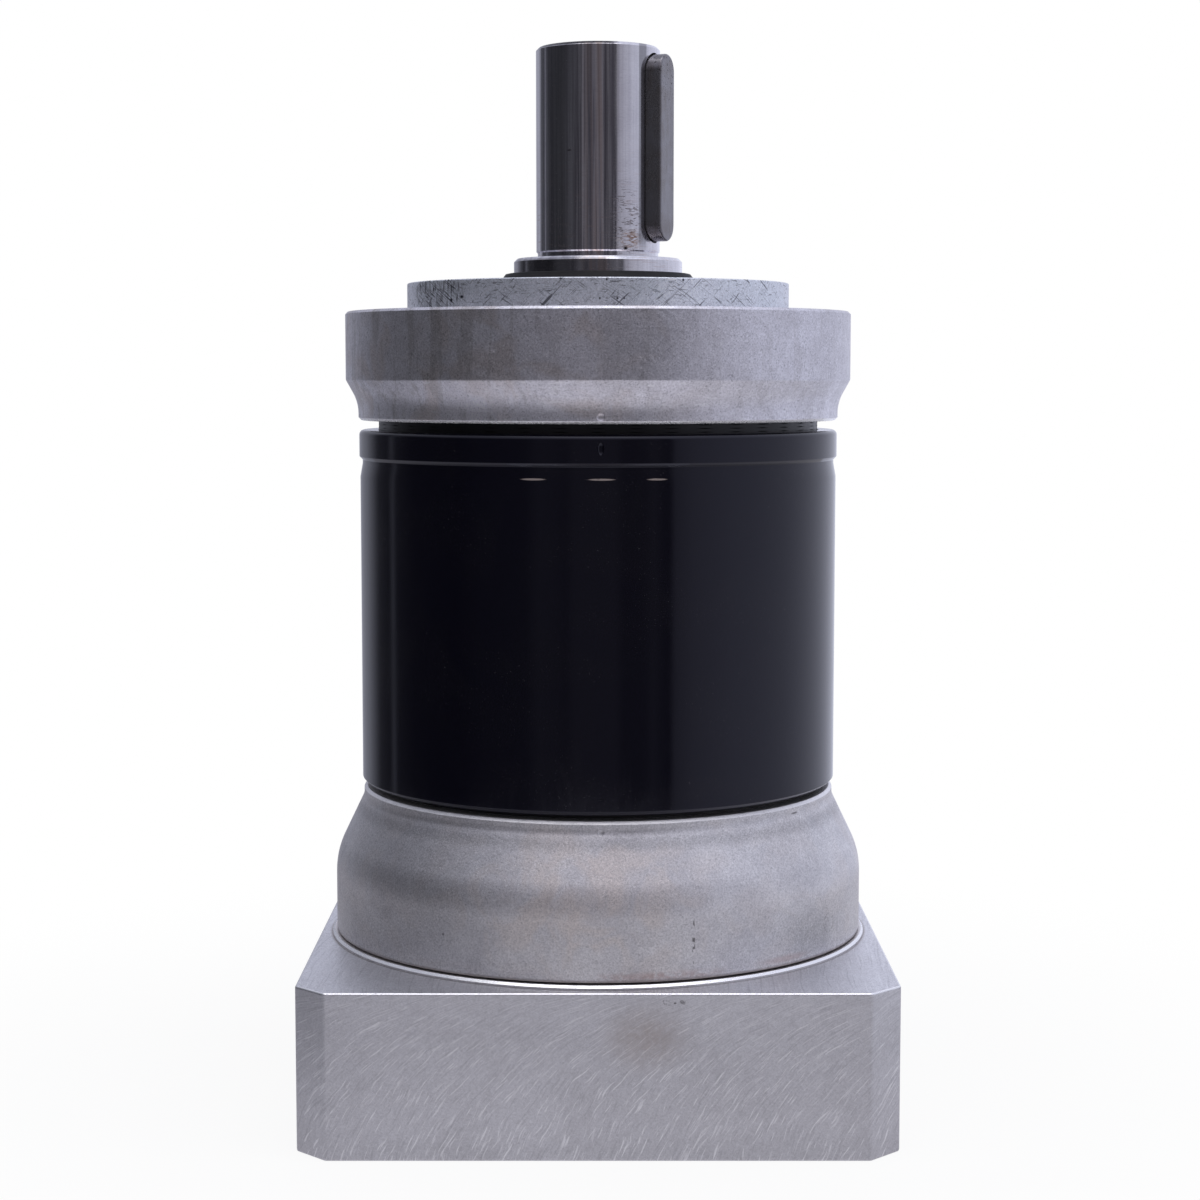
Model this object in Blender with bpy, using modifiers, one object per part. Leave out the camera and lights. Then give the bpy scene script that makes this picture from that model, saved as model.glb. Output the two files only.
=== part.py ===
# Two-stage planetary gearbox, 90 mm frame, standing on its motor face with the output shaft up.
# Metres, +Z along the shaft, origin at the centre of the motor face, -Y towards the viewer.

import math

import bmesh
import bpy
from mathutils import Matrix, Vector

MM = 0.001

# Fits
SEAT_GAP = 0.3 * MM
RUNNING_GAP = 0.5 * MM
TOOTH_TIP_GAP = 0.75 * MM
RACEWAY_GAP = 0.9 * MM
FLANK_THINNING = 0.1 * MM

# Gear train: both stages have the same sun and planets and share one long ring
MODULE = 1.75 * MM
PRESSURE_ANGLE = math.radians(25)
SUN_TEETH = 12
PLANET_TEETH = 12
PLANET_COUNT = 3
FIRST_PLANET_ANGLE = math.radians(90)
ADDENDUM = 1.0
DEDENDUM = 1.25
STAGE1_FACE_WIDTH = 10.5 * MM
STAGE2_FACE_WIDTH = 14.4 * MM

# Planet pins and needles
PIN_RADIUS = 4.0 * MM
PIN_HEAD_RADIUS = 7.0 * MM
PIN_HEAD_HEIGHT = 1.2 * MM
NEEDLE_DIAMETER = 1.5 * MM
NEEDLE_COUNT = 8

# Planet carriers
STAGE1_CARRIER_THICKNESS = 5.0 * MM
STAGE2_LOWER_CHEEK = 4.4 * MM
STAGE2_UPPER_CHEEK = 6.0 * MM
SUN_SHANK_RADIUS = 6.5 * MM

# Output shaft
SHAFT_RADIUS = 11.0 * MM
SHAFT_SEAT_RADIUS = 15.0 * MM
SHAFT_OVERHANG = 46.4 * MM
SHOULDER_STANDOFF = 9.45 * MM
SHAFT_CHAMFER = 1.0 * MM
SHOULDER_CHAMFER = 0.6 * MM
RELIEF_WIDTH = 1.2 * MM
RELIEF_DEPTH = 0.25 * MM
CENTRE_HOLE_RADIUS = 3.4 * MM
CENTRE_HOLE_DEPTH = 20.0 * MM
CENTRE_COUNTERSINK = 0.8 * MM
BEARING_COLLAR_STEP = 3.0 * MM

# Key
KEY_WIDTH = 6.0 * MM
KEY_HEIGHT = 6.0 * MM
KEY_LENGTH = 32.5 * MM
KEY_PROUD = 2.5 * MM
KEY_FROM_SHAFT_END = 1.6 * MM
KEY_EDGE = 0.4 * MM
KEY_ANGLE = math.radians(-25)

# Ball bearings
OUTPUT_BEARING_SECTION = 12.5 * MM
OUTPUT_BEARING_WIDTH = 13.0 * MM
OUTPUT_BALL_RADIUS = 4.2 * MM
OUTPUT_BALL_COUNT = 8
INPUT_BEARING_SECTION = 10.0 * MM
INPUT_BEARING_WIDTH = 10.0 * MM
INPUT_BALL_RADIUS = 3.0 * MM
INPUT_BALL_COUNT = 9
RACE_SHOULDER = 0.65
CAGE_SHARE = 0.3
SPACER_WIDTH = 2.0 * MM
SPACER_WALL = 2.6 * MM

# Seals and retaining rings
SEAL_SECTION = 8.5 * MM
SEAL_WIDTH = 7.0 * MM
SEAL_WALL = 1.2 * MM
OUTPUT_LIP_STANDOUT = 1.8 * MM
INPUT_LIP_STANDOUT = 0.8 * MM
LAND_THICKNESS = 1.2 * MM
LAND_OVERLAP = 4.5 * MM
CIRCLIP_THICKNESS = 1.5 * MM
CIRCLIP_HEIGHT = 2.6 * MM
CIRCLIP_BITE = 1.1 * MM
CIRCLIP_OPENING = math.radians(40)
GROOVE_LAND = 0.9 * MM

# Output flange
PILOT_RADIUS = 34.0 * MM
PILOT_HEIGHT = 5.0 * MM
PILOT_CHAMFER = 0.4 * MM
FLANGE_STEP = 2.45 * MM
FLANGE_CHAMFER = 0.7 * MM
COVE_FOOT_STEP = 0.25 * MM
COVE_FOOT_HEIGHT = 1.2 * MM
COVE_FOOT_ROUND = 0.5 * MM
COVE_ANGLE = math.radians(29)
COVE_HOLLOW_RADIUS = 9.0 * MM
COVE_CORNER_RADIUS = 2.4 * MM
FLANGE_BOLT_RADIUS = 2.5 * MM
FLANGE_BOLT_DEPTH = 10.5 * MM
FLANGE_BOLT_CIRCLE = 39.6 * MM
FLANGE_BOLT_COUNT = 4
UPPER_SPIGOT_DEPTH = 14.6 * MM
UPPER_JOINT_GAP = 1.7 * MM

# Ring gear
RING_WALL = 8.86 * MM
RING_BAND_HEIGHT = 4.7 * MM
RING_BAND_STEP = 0.15 * MM
RING_GROOVE_WIDTH = 2.8 * MM
RING_GROOVE_DEPTH = 0.6 * MM
RING_TOP_ROUND = 0.9 * MM
RING_BOTTOM_BEVEL = 0.75 * MM
SPIGOT_STEP = 5.53 * MM
LOWER_SPIGOT_DEPTH = 4.0 * MM
LOWER_JOINT_GAP = 0.9 * MM

# Input bell
BELL_STEP = 4.85 * MM
BELL_TOP_STEP = 0.25 * MM
BELL_TOP_CHAMFER = 0.3 * MM
BELL_NECK = 1.8 * MM
BELL_NECK_FILLET = 3.0 * MM
BELL_FLARE_ANGLE = math.radians(25.7)
BELL_SHOULDER_RADIUS = 14.5 * MM
BELL_CAVITY_STEP = 2.7 * MM
BELL_CAVITY_DEPTH = 5.0 * MM
BELL_TOP_LAND = 4.5 * MM
REGISTER_WALL = 4.0 * MM
REGISTER_DEPTH = 2.0 * MM

# Motor adapter
ADAPTER_WIDTH = 100.0 * MM
ADAPTER_HEIGHT = 28.1 * MM
ADAPTER_CORNER = 5.2 * MM
ADAPTER_EDGE = 0.4 * MM
SEAT_RING_STEP = 0.8 * MM
SEAT_RING_HEIGHT = 0.7 * MM
MOTOR_PILOT_WALL = 2.5 * MM
MOTOR_PILOT_DEPTH = 5.0 * MM
MOTOR_BOLT_STEP = 10.0 * MM
MOTOR_BOLT_RADIUS = 3.4 * MM
MOTOR_BOLT_DEPTH = 20.0 * MM
MOTOR_BOLT_COUNT = 4

# Screws that hold the adapter to the bell
ADAPTER_SCREW_RADIUS = 3.0 * MM
ADAPTER_SCREW_STEP = 5.5 * MM
ADAPTER_SCREW_BITE = 10.0 * MM
ADAPTER_SCREW_COUNT = 4
SCREW_HEAD_RECESS = 1.0 * MM

# Input hub, its clamp ring and screw
MOTOR_SHAFT_RADIUS = 9.5 * MM
MOTOR_SHAFT_DEPTH = 35.5 * MM
HUB_STANDOFF = 1.5 * MM
HUB_SEAT_RADIUS = 17.5 * MM
HUB_SEAT_CHAMFER = 0.5 * MM
HUB_CLAMP_STEP = 2.5 * MM
HUB_CLAMP_LENGTH = 20.0 * MM
HUB_COLLAR_STEP = 2.0 * MM
HUB_NECK_RADIUS = 7.5 * MM
HUB_SLOT_WIDTH = 1.5 * MM
HUB_SLOT_LAND = 2.0 * MM
CLAMP_RING_SECTION = 10.0 * MM
CLAMP_RING_WIDTH = 14.0 * MM
CLAMP_SLOT_WIDTH = 2.0 * MM
CLAMP_SCREW_RADIUS = 3.0 * MM
CLAMP_SCREW_STEP = 4.0 * MM
CLAMP_SCREW_SEAT = 9.0 * MM
CLAMP_SCREW_LENGTH = 22.0 * MM

# Plug in the clamp screw's access hole
ACCESS_RADIUS = 4.5 * MM
PLUG_HEAD_STEP = 1.6 * MM
PLUG_HEAD_HEIGHT = 1.2 * MM
PLUG_LENGTH = 7.0 * MM

# Facets
SHELL_STEPS = 30
SHAFT_STEPS = 24
CARRIER_STEPS = 20
RACE_STEPS = 18
SMALL_STEPS = 10
CURVE_STEPS = 3
FLANK_FACES = 2

# Gear sizes that follow from the teeth
RING_TEETH = SUN_TEETH + 2 * PLANET_TEETH
CENTRE_DISTANCE = MODULE * (SUN_TEETH + PLANET_TEETH) / 2
SUN_TIP = MODULE * (SUN_TEETH / 2 + ADDENDUM)
SUN_ROOT = MODULE * (SUN_TEETH / 2 - DEDENDUM)
PLANET_TIP = MODULE * (PLANET_TEETH / 2 + ADDENDUM)
PLANET_ROOT = MODULE * (PLANET_TEETH / 2 - DEDENDUM)
RING_TIP = MODULE * (RING_TEETH / 2 - ADDENDUM)
RING_ROOT = MODULE * (RING_TEETH / 2 + DEDENDUM)
CARRIER_RADIUS = RING_TIP - TOOTH_TIP_GAP
NEEDLE_INNER = PIN_RADIUS + SEAT_GAP
NEEDLE_OUTER = NEEDLE_INNER + NEEDLE_DIAMETER
PLANET_BORE = NEEDLE_OUTER + SEAT_GAP

# Radii that follow from the ring
RING_RADIUS = RING_ROOT + RING_WALL
SPIGOT_RADIUS = RING_ROOT + SPIGOT_STEP
FLANGE_RADIUS = RING_RADIUS + FLANGE_STEP
COVE_FOOT_RADIUS = RING_RADIUS + COVE_FOOT_STEP
BELL_TOP_RADIUS = RING_RADIUS - BELL_TOP_STEP
BELL_RADIUS = RING_RADIUS + BELL_STEP
SEAT_RING_RADIUS = BELL_RADIUS + SEAT_RING_STEP

# Radii that follow from the adapter's width
MOTOR_PILOT_RADIUS = ADAPTER_WIDTH / 2 - MOTOR_PILOT_WALL
MOTOR_BOLT_CIRCLE = MOTOR_PILOT_RADIUS + MOTOR_BOLT_STEP

# Radii that follow from the shaft's and the hub's bearing seats
OUTPUT_BEARING_RADIUS = SHAFT_SEAT_RADIUS + OUTPUT_BEARING_SECTION
OUTPUT_SEAL_RADIUS = SHAFT_SEAT_RADIUS + SEAL_SECTION
OUTPUT_BORE = OUTPUT_BEARING_RADIUS + SEAT_GAP
INPUT_BEARING_RADIUS = HUB_SEAT_RADIUS + INPUT_BEARING_SECTION
INPUT_SEAL_RADIUS = HUB_SEAT_RADIUS + SEAL_SECTION
INPUT_BORE = INPUT_BEARING_RADIUS + SEAT_GAP
HUB_CLAMP_RADIUS = HUB_SEAT_RADIUS - HUB_CLAMP_STEP
CLAMP_RING_RADIUS = HUB_CLAMP_RADIUS + CLAMP_RING_SECTION
CLAMP_SCREW_OFFSET = HUB_CLAMP_RADIUS + CLAMP_SCREW_STEP
CAVITY_RADIUS = INPUT_SEAL_RADIUS + SEAT_GAP + BELL_CAVITY_STEP
REGISTER_RADIUS = CAVITY_RADIUS + REGISTER_WALL
ADAPTER_SCREW_CIRCLE = REGISTER_RADIUS + ADAPTER_SCREW_STEP

# Heights of the input side, from the motor face up
CIRCLIP_GROOVE = CIRCLIP_THICKNESS + 2 * SEAT_GAP
HUB_BOTTOM = MOTOR_PILOT_DEPTH + HUB_STANDOFF
HUB_SHOULDER = HUB_BOTTOM + HUB_CLAMP_LENGTH
CLAMP_RING_TOP = HUB_SHOULDER - SEAT_GAP
CLAMP_SCREW_HEIGHT = CLAMP_RING_TOP - CLAMP_RING_WIDTH / 2
SEAT_RING_TOP = ADAPTER_HEIGHT + SEAT_RING_HEIGHT
BELL_BOTTOM = SEAT_RING_TOP + SEAT_GAP
INPUT_SEAL_MOUTH = BELL_BOTTOM + BELL_CAVITY_DEPTH
INPUT_SEAL_BOTTOM = INPUT_SEAL_MOUTH + SEAT_GAP
BELL_LAND_BOTTOM = INPUT_SEAL_BOTTOM + SEAL_WIDTH + SEAT_GAP
BELL_LAND_TOP = BELL_LAND_BOTTOM + LAND_THICKNESS
INPUT_BEARING_BOTTOM = BELL_LAND_TOP + SEAT_GAP
INPUT_BEARING_TOP = INPUT_BEARING_BOTTOM + INPUT_BEARING_WIDTH
INPUT_GROOVE_TOP = INPUT_BEARING_TOP + CIRCLIP_GROOVE
LOWER_SPIGOT_END = INPUT_GROOVE_TOP + BELL_TOP_LAND
RING_BOTTOM = LOWER_SPIGOT_END - LOWER_SPIGOT_DEPTH
BELL_TOP = RING_BOTTOM - LOWER_JOINT_GAP

# Heights of the gear train
TEETH_BOTTOM = LOWER_SPIGOT_END + SEAT_GAP
PIN_HEAD_BOTTOM = LOWER_SPIGOT_END + RUNNING_GAP
STAGE1_BOTTOM = PIN_HEAD_BOTTOM + PIN_HEAD_HEIGHT + SEAT_GAP
STAGE1_TOP = STAGE1_BOTTOM + STAGE1_FACE_WIDTH
STAGE1_CARRIER_BOTTOM = STAGE1_TOP + SEAT_GAP
STAGE1_CARRIER_TOP = STAGE1_CARRIER_BOTTOM + STAGE1_CARRIER_THICKNESS
CAGE_BOTTOM = STAGE1_CARRIER_TOP + RUNNING_GAP
POCKET_BOTTOM = CAGE_BOTTOM + STAGE2_LOWER_CHEEK
STAGE2_BOTTOM = POCKET_BOTTOM + SEAT_GAP
STAGE2_TOP = STAGE2_BOTTOM + STAGE2_FACE_WIDTH
POCKET_TOP = STAGE2_TOP + SEAT_GAP
CAGE_TOP = POCKET_TOP + STAGE2_UPPER_CHEEK
UPPER_SPIGOT_END = CAGE_TOP + RUNNING_GAP
TEETH_TOP = UPPER_SPIGOT_END - SEAT_GAP
RING_TOP = UPPER_SPIGOT_END + UPPER_SPIGOT_DEPTH

# Heights of the output side
FLANGE_BOTTOM = RING_TOP + UPPER_JOINT_GAP
FLANGE_GROOVE_BOTTOM = UPPER_SPIGOT_END + GROOVE_LAND
REAR_BEARING_BOTTOM = FLANGE_GROOVE_BOTTOM + CIRCLIP_GROOVE
REAR_BEARING_TOP = REAR_BEARING_BOTTOM + OUTPUT_BEARING_WIDTH
SPACER_BOTTOM = REAR_BEARING_TOP + SEAT_GAP
SPACER_TOP = SPACER_BOTTOM + SPACER_WIDTH
FRONT_BEARING_BOTTOM = SPACER_TOP + SEAT_GAP
FRONT_BEARING_TOP = FRONT_BEARING_BOTTOM + OUTPUT_BEARING_WIDTH
FLANGE_LAND_BOTTOM = FRONT_BEARING_TOP + SEAT_GAP
FLANGE_LAND_TOP = FLANGE_LAND_BOTTOM + LAND_THICKNESS
OUTPUT_SEAL_BOTTOM = FLANGE_LAND_TOP + SEAT_GAP
PILOT_TOP = OUTPUT_SEAL_BOTTOM + SEAL_WIDTH
FLANGE_FACE = PILOT_TOP - PILOT_HEIGHT
SHOULDER_TOP = FLANGE_FACE + SHOULDER_STANDOFF
SHAFT_TOP = FLANGE_FACE + SHAFT_OVERHANG

# Colour, roughness and metallic value of each finish
FINISHES = {
    "ground_steel": ((0.30, 0.29, 0.31), 0.28, 1.0),
    "gear_steel": ((0.34, 0.34, 0.35), 0.38, 1.0),
    "bearing_steel": ((0.55, 0.55, 0.57), 0.22, 1.0),
    "machined_aluminium": ((0.60, 0.60, 0.62), 0.42, 1.0),
    "black_coating": ((0.012, 0.012, 0.016), 0.12, 0.0),
    "black_oxide": ((0.03, 0.03, 0.035), 0.45, 0.6),
    "seal_rubber": ((0.015, 0.015, 0.015), 0.55, 0.0),
}


# Scene and collections


def clear_scene():
    for item in list(bpy.data.objects):
        bpy.data.objects.remove(item, do_unlink=True)


def new_collection(name):
    collection = bpy.data.collections.new(name)
    bpy.context.scene.collection.children.link(collection)
    return collection


clear_scene()
parts = new_collection("planetary_gearbox")
cutters = new_collection("cutters")


# Objects, materials and Boolean cuts


def finish_material(name, finish):
    colour, roughness, metallic = FINISHES[finish]
    material = bpy.data.materials.new(name + "_" + finish)
    material.use_nodes = True
    shader = material.node_tree.nodes["Principled BSDF"]
    shader.inputs["Base Color"].default_value = (*colour, 1)
    shader.inputs["Roughness"].default_value = roughness
    shader.inputs["Metallic"].default_value = metallic
    material.diffuse_color = (*colour, 1)
    return material


def body(name, parent=None, location=(0, 0, 0)):
    empty = bpy.data.objects.new(name, None)
    empty.empty_display_size = 10 * MM
    empty.location = location
    empty.parent = parent
    parts.objects.link(empty)
    return empty


def add_part(name, mesh, finish, owner):
    mesh.name = name
    mesh.shade_smooth()
    mesh.set_sharp_from_angle(angle=math.radians(30))
    mesh.materials.clear()
    mesh.materials.append(finish_material(name, finish))
    item = bpy.data.objects.new(name, mesh)
    item.parent = owner
    parts.objects.link(item)
    return item


def add_cutter(name, mesh):
    item = bpy.data.objects.new(name, mesh)
    item.hide_render = True
    item.display_type = "WIRE"
    cutters.objects.link(item)
    return item


def combine(item, cutter, operation="DIFFERENCE"):
    modifier = item.modifiers.new(cutter.name, "BOOLEAN")
    modifier.operation = operation
    modifier.solver = "EXACT"
    modifier.object = cutter


# Meshes


# Makes an object's evaluated shape a mesh and removes the object
def evaluated_mesh(item):
    bpy.context.scene.collection.objects.link(item)
    bpy.context.view_layer.update()
    graph = bpy.context.evaluated_depsgraph_get()
    mesh = bpy.data.meshes.new_from_object(item.evaluated_get(graph))
    bpy.data.objects.remove(item)
    return mesh


def edited(mesh, operation):
    work = bmesh.new()
    work.from_mesh(mesh)
    operation(work)
    work.to_mesh(mesh)
    work.free()
    return mesh


def weld(work):
    bmesh.ops.remove_doubles(work, verts=work.verts, dist=0.000001)
    bmesh.ops.recalc_face_normals(work, faces=work.faces)


def moved(mesh, matrix):
    mesh.transform(matrix)
    return mesh


def raised(mesh, height):
    return moved(mesh, Matrix.Translation((0, 0, height)))


def copies_around(mesh, radius, count, first=0.0):
    result = bpy.data.meshes.new(mesh.name)
    work = bmesh.new()
    for angle in around(count, first):
        copy = mesh.copy()
        copy.transform(Matrix.Translation((*polar(radius, angle), 0)))
        work.from_mesh(copy)
        bpy.data.meshes.remove(copy)
    work.to_mesh(result)
    work.free()
    return result


# Points of outlines


def around(count, first=0.0):
    return [first + 2 * math.pi * index / count for index in range(count)]


def polar(radius, angle):
    return radius * math.cos(angle), radius * math.sin(angle)


def arc(centre, radius, start, end, steps=CURVE_STEPS):
    points = []
    for index in range(steps + 1):
        x, y = polar(radius, start + (end - start) * index / steps)
        points.append((centre[0] + x, centre[1] + y))
    return points


def tube_profile(inner, outer, bottom, top):
    return [(inner, top), (outer, top), (outer, bottom), (inner, bottom)]


def circle_outline(radius, steps):
    return [polar(radius, angle) for angle in around(steps)]


def stadium_outline(length, width):
    half = (length - width) / 2
    right = arc((half, 0), width / 2, -math.pi / 2, math.pi / 2, 2 * CURVE_STEPS)
    left = arc((-half, 0), width / 2, math.pi / 2, 3 * math.pi / 2, 2 * CURVE_STEPS)
    return right + left


# A profile of radius and height turned about Z. It runs down its outer side, top to bottom.
def turned(profile, steps):
    mesh = bpy.data.meshes.new("profile")
    edges = [(index, index + 1) for index in range(len(profile) - 1)]
    if profile[0][0] > 0:
        edges.append((len(profile) - 1, 0))
    mesh.from_pydata([(radius, 0, height) for radius, height in profile], edges, [])
    item = bpy.data.objects.new("profile", mesh)
    screw = item.modifiers.new("Turn", "SCREW")
    screw.angle = 2 * math.pi
    screw.steps = steps
    screw.render_steps = steps
    screw.use_merge_vertices = True
    screw.merge_threshold = 0.00001
    return evaluated_mesh(item)


# A flat outline filled as a 2D curve and given a height. Further outlines are holes in it.
def prism(outlines, bottom, top):
    curve = bpy.data.curves.new("outline", "CURVE")
    curve.dimensions = "2D"
    curve.fill_mode = "BOTH"
    curve.extrude = (top - bottom) / 2
    for outline in outlines:
        spline = curve.splines.new("POLY")
        spline.points.add(len(outline) - 1)
        spline.use_cyclic_u = True
        for point, (x, y) in zip(spline.points, outline):
            point.co = (x, y, 0, 1)
    mesh = evaluated_mesh(bpy.data.objects.new("outline", curve))
    return raised(edited(mesh, weld), (top + bottom) / 2)


def cylinder(radius, bottom, top, steps):
    return turned([(0, top), (radius, top), (radius, bottom), (0, bottom)], steps)


# A solid for a hole with a wider mouth, or for what fits such a hole
def stepped_hole(radius, mouth_radius, end, step, mouth, steps=SMALL_STEPS):
    profile = [
        (0, mouth),
        (mouth_radius, mouth),
        (mouth_radius, step),
        (radius, step),
        (radius, end),
        (0, end),
    ]
    return turned(profile, steps)


# A box from two opposite corners
def block(low, high):
    size = Vector(high) - Vector(low)
    middle = (Vector(high) + Vector(low)) / 2
    mesh = bpy.data.meshes.new("block")
    placement = Matrix.Translation(middle) @ Matrix.Diagonal((*size, 1))
    return edited(mesh, lambda work: bmesh.ops.create_cube(work, size=1, matrix=placement))


# Gear teeth


def involute(angle):
    return math.tan(angle) - angle


# Involute teeth between two radii, each flank thinned along the pitch circle
def tooth_outline(teeth, inner, outer, thinning, phase):
    pitch = MODULE * teeth / 2
    base = pitch * math.cos(PRESSURE_ANGLE)
    half_at_pitch = math.pi / (2 * teeth) - thinning / pitch

    def half_angle(radius):
        pressure = math.acos(min(1.0, base / radius))
        return half_at_pitch + involute(PRESSURE_ANGLE) - involute(pressure)

    radii = [inner + (outer - inner) * step / FLANK_FACES for step in range(FLANK_FACES + 1)]
    points = []
    for centre in around(teeth, phase):
        points += [polar(radius, centre - half_angle(radius)) for radius in radii]
        points += [polar(radius, centre + half_angle(radius)) for radius in reversed(radii)]
    return points


# The ring has a tooth space at +X, and a planet at this angle is turned to mesh with it.
def planet_phase(angle):
    return angle - angle * RING_TEETH / PLANET_TEETH


# The sun is turned to mesh with planets that mesh with the ring.
def sun_phase():
    half_turns = math.pi * (1 + PLANET_TEETH)
    return (half_turns + FIRST_PLANET_ANGLE * (SUN_TEETH + RING_TEETH)) / SUN_TEETH


def sun_mesh(bottom, top):
    return prism([tooth_outline(SUN_TEETH, SUN_ROOT, SUN_TIP, FLANK_THINNING, sun_phase())], bottom, top)


def planet_mesh(angle, bottom, top):
    teeth = tooth_outline(PLANET_TEETH, PLANET_ROOT, PLANET_TIP, FLANK_THINNING, planet_phase(angle))
    return prism([teeth, circle_outline(PLANET_BORE, SMALL_STEPS + 2)], bottom, top)


# Needles and their thin cage as one ring, with a rib for each needle
def needle_mesh(bottom, top):
    valley = NEEDLE_OUTER - NEEDLE_DIAMETER / 3
    pitch = 2 * math.pi / NEEDLE_COUNT
    outline = []
    for angle in around(NEEDLE_COUNT):
        outline.append(polar(NEEDLE_OUTER, angle - pitch / 6))
        outline.append(polar(NEEDLE_OUTER, angle + pitch / 6))
        outline.append(polar(valley, angle + pitch / 2))
    return prism([outline, circle_outline(NEEDLE_INNER, SMALL_STEPS)], bottom, top)


def planet_angles():
    return around(PLANET_COUNT, FIRST_PLANET_ANGLE)


# Planets on their own axes, each with its needles, and the pins that the carrier holds
def build_planets(stage, carrier, bottom, top, pin_mesh):
    for number, angle in enumerate(planet_angles(), 1):
        place = (*polar(CENTRE_DISTANCE, angle), 0)
        planet = body(f"{stage}_planet_axis_{number}", carrier, place)
        needles = body(f"{stage}_needle_axis_{number}", carrier, place)
        add_part(f"{stage}_planet_{number}", planet_mesh(angle, bottom, top), "gear_steel", planet)
        add_part(f"{stage}_needles_{number}", needle_mesh(bottom, top), "bearing_steel", needles)
        pin = add_part(f"{stage}_pin_{number}", pin_mesh.copy(), "ground_steel", carrier)
        pin.location = place


def pin_holes(bottom, top):
    hole = cylinder(PIN_RADIUS + SEAT_GAP, bottom - MM, top + MM, SMALL_STEPS)
    return copies_around(hole, CENTRE_DISTANCE, PLANET_COUNT, FIRST_PLANET_ANGLE)


# Retaining rings and seals


def build_circlip(name, inner, outer, bottom, owner):
    start = CIRCLIP_OPENING / 2
    end = 2 * math.pi - start
    outline = arc((0, 0), outer, start, end, RACE_STEPS)
    outline += arc((0, 0), inner, end, start, RACE_STEPS)
    add_part(name, prism([outline], bottom, bottom + CIRCLIP_THICKNESS), "black_oxide", owner)


# A spring ring in a groove cut into the wall of a bore
def build_bore_circlip(name, bore, groove_bottom, owner):
    outer = bore + CIRCLIP_BITE - SEAT_GAP
    build_circlip(name, outer - CIRCLIP_HEIGHT, outer, groove_bottom + SEAT_GAP, owner)


# A spring ring in a groove turned into a shaft
def build_shaft_circlip(name, shaft, groove_bottom, owner):
    inner = shaft - CIRCLIP_BITE + SEAT_GAP
    build_circlip(name, inner, inner + CIRCLIP_HEIGHT, groove_bottom + SEAT_GAP, owner)


# A lip seal: a shell and web towards the air, with a sealing lip and a dust lip round the shaft
def build_seal(name, outer, shaft, air, oil, standout, owner):
    side = 1 if air > oil else -1
    inner = shaft + SEAT_GAP
    lip = inner + SEAL_WALL
    profile = [
        (inner, air + side * standout),
        (lip, air + side * standout),
        (lip, air),
        (outer, air),
        (outer, oil),
        (outer - SEAL_WALL, oil),
        (outer - SEAL_WALL, air - side * SEAL_WALL),
        (lip, air - side * SEAL_WALL),
        (inner, oil + side * 2 * SEAL_WALL),
    ]
    add_part(name, turned(profile[::side], RACE_STEPS), "seal_rubber", owner)


# Ball bearings


# The raceway's arc round a ball, on the ring's inner or outer side, from its upper end down
def raceway(pitch, ball, middle, side):
    groove = ball + RACEWAY_GAP
    half = math.acos(RACE_SHOULDER * ball / groove)
    facing = math.pi if side < 0 else 0
    return arc((pitch, middle), groove, facing + side * half, facing - side * half, 2)


def build_inner_race(name, bore, outer, ball, bottom, width, owner):
    pitch = (bore + outer) / 2
    land = pitch - RACE_SHOULDER * ball
    profile = [(bore, bottom + width), (land, bottom + width)]
    profile += raceway(pitch, ball, bottom + width / 2, -1)
    profile += [(land, bottom), (bore, bottom)]
    add_part(name, turned(profile, RACE_STEPS), "bearing_steel", owner)


def build_outer_race(name, bore, outer, ball, bottom, width, owner):
    pitch = (bore + outer) / 2
    land = pitch + RACE_SHOULDER * ball
    profile = tube_profile(land, outer, bottom, bottom + width)
    profile += reversed(raceway(pitch, ball, bottom + width / 2, 1))
    add_part(name, turned(profile, RACE_STEPS), "bearing_steel", owner)


# Balls held by a plain ring cage, which is set between the two lands
def build_ball_set(name, bore, outer, ball, count, middle, owner):
    pitch = (bore + outer) / 2
    half = CAGE_SHARE * ball
    section = tube_profile(pitch - half, pitch + half, middle - 2 * half, middle + 2 * half)
    cage = add_part(name, turned(section, RACE_STEPS), "bearing_steel", owner)
    sphere = edited(
        bpy.data.meshes.new("ball"),
        lambda work: bmesh.ops.create_uvsphere(work, u_segments=6, v_segments=4, radius=ball),
    )
    balls = copies_around(raised(sphere, middle), pitch, count, math.pi / count)
    combine(cage, add_cutter(name + "_spheres", balls), "UNION")


def build_bearing(name, shaft, outer, ball, count, bottom, width, bore_owner, shaft_owner):
    bore = shaft + SEAT_GAP
    build_outer_race(name + "_outer", bore, outer, ball, bottom, width, bore_owner)
    build_inner_race(name + "_inner", bore, outer, ball, bottom, width, shaft_owner)
    cage_axis = body(name + "_cage_axis", bore_owner)
    build_ball_set(name + "_balls", bore, outer, ball, count, bottom + width / 2, cage_axis)


# Housing


# The cove leaves the rim in a soft corner, runs in as a cone and ends in a hollow curve.
def cove_profile():
    step = FLANGE_RADIUS - COVE_FOOT_RADIUS
    bend = 1 - math.cos(COVE_ANGLE)
    share = min(1.0, abs(step) / (bend * (COVE_HOLLOW_RADIUS + COVE_CORNER_RADIUS)))
    hollow = share * COVE_HOLLOW_RADIUS
    corner = share * COVE_CORNER_RADIUS
    cone_height = (step - bend * (hollow + corner)) / math.tan(COVE_ANGLE)
    foot = FLANGE_BOTTOM + COVE_FOOT_HEIGHT
    top = foot + (hollow + corner) * math.sin(COVE_ANGLE) + cone_height
    rim = arc((FLANGE_RADIUS - corner, top), corner, 0, -COVE_ANGLE, 2)
    dip = arc((COVE_FOOT_RADIUS + hollow, foot), hollow, math.pi - COVE_ANGLE, math.pi, 2)
    return rim + dip


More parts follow.
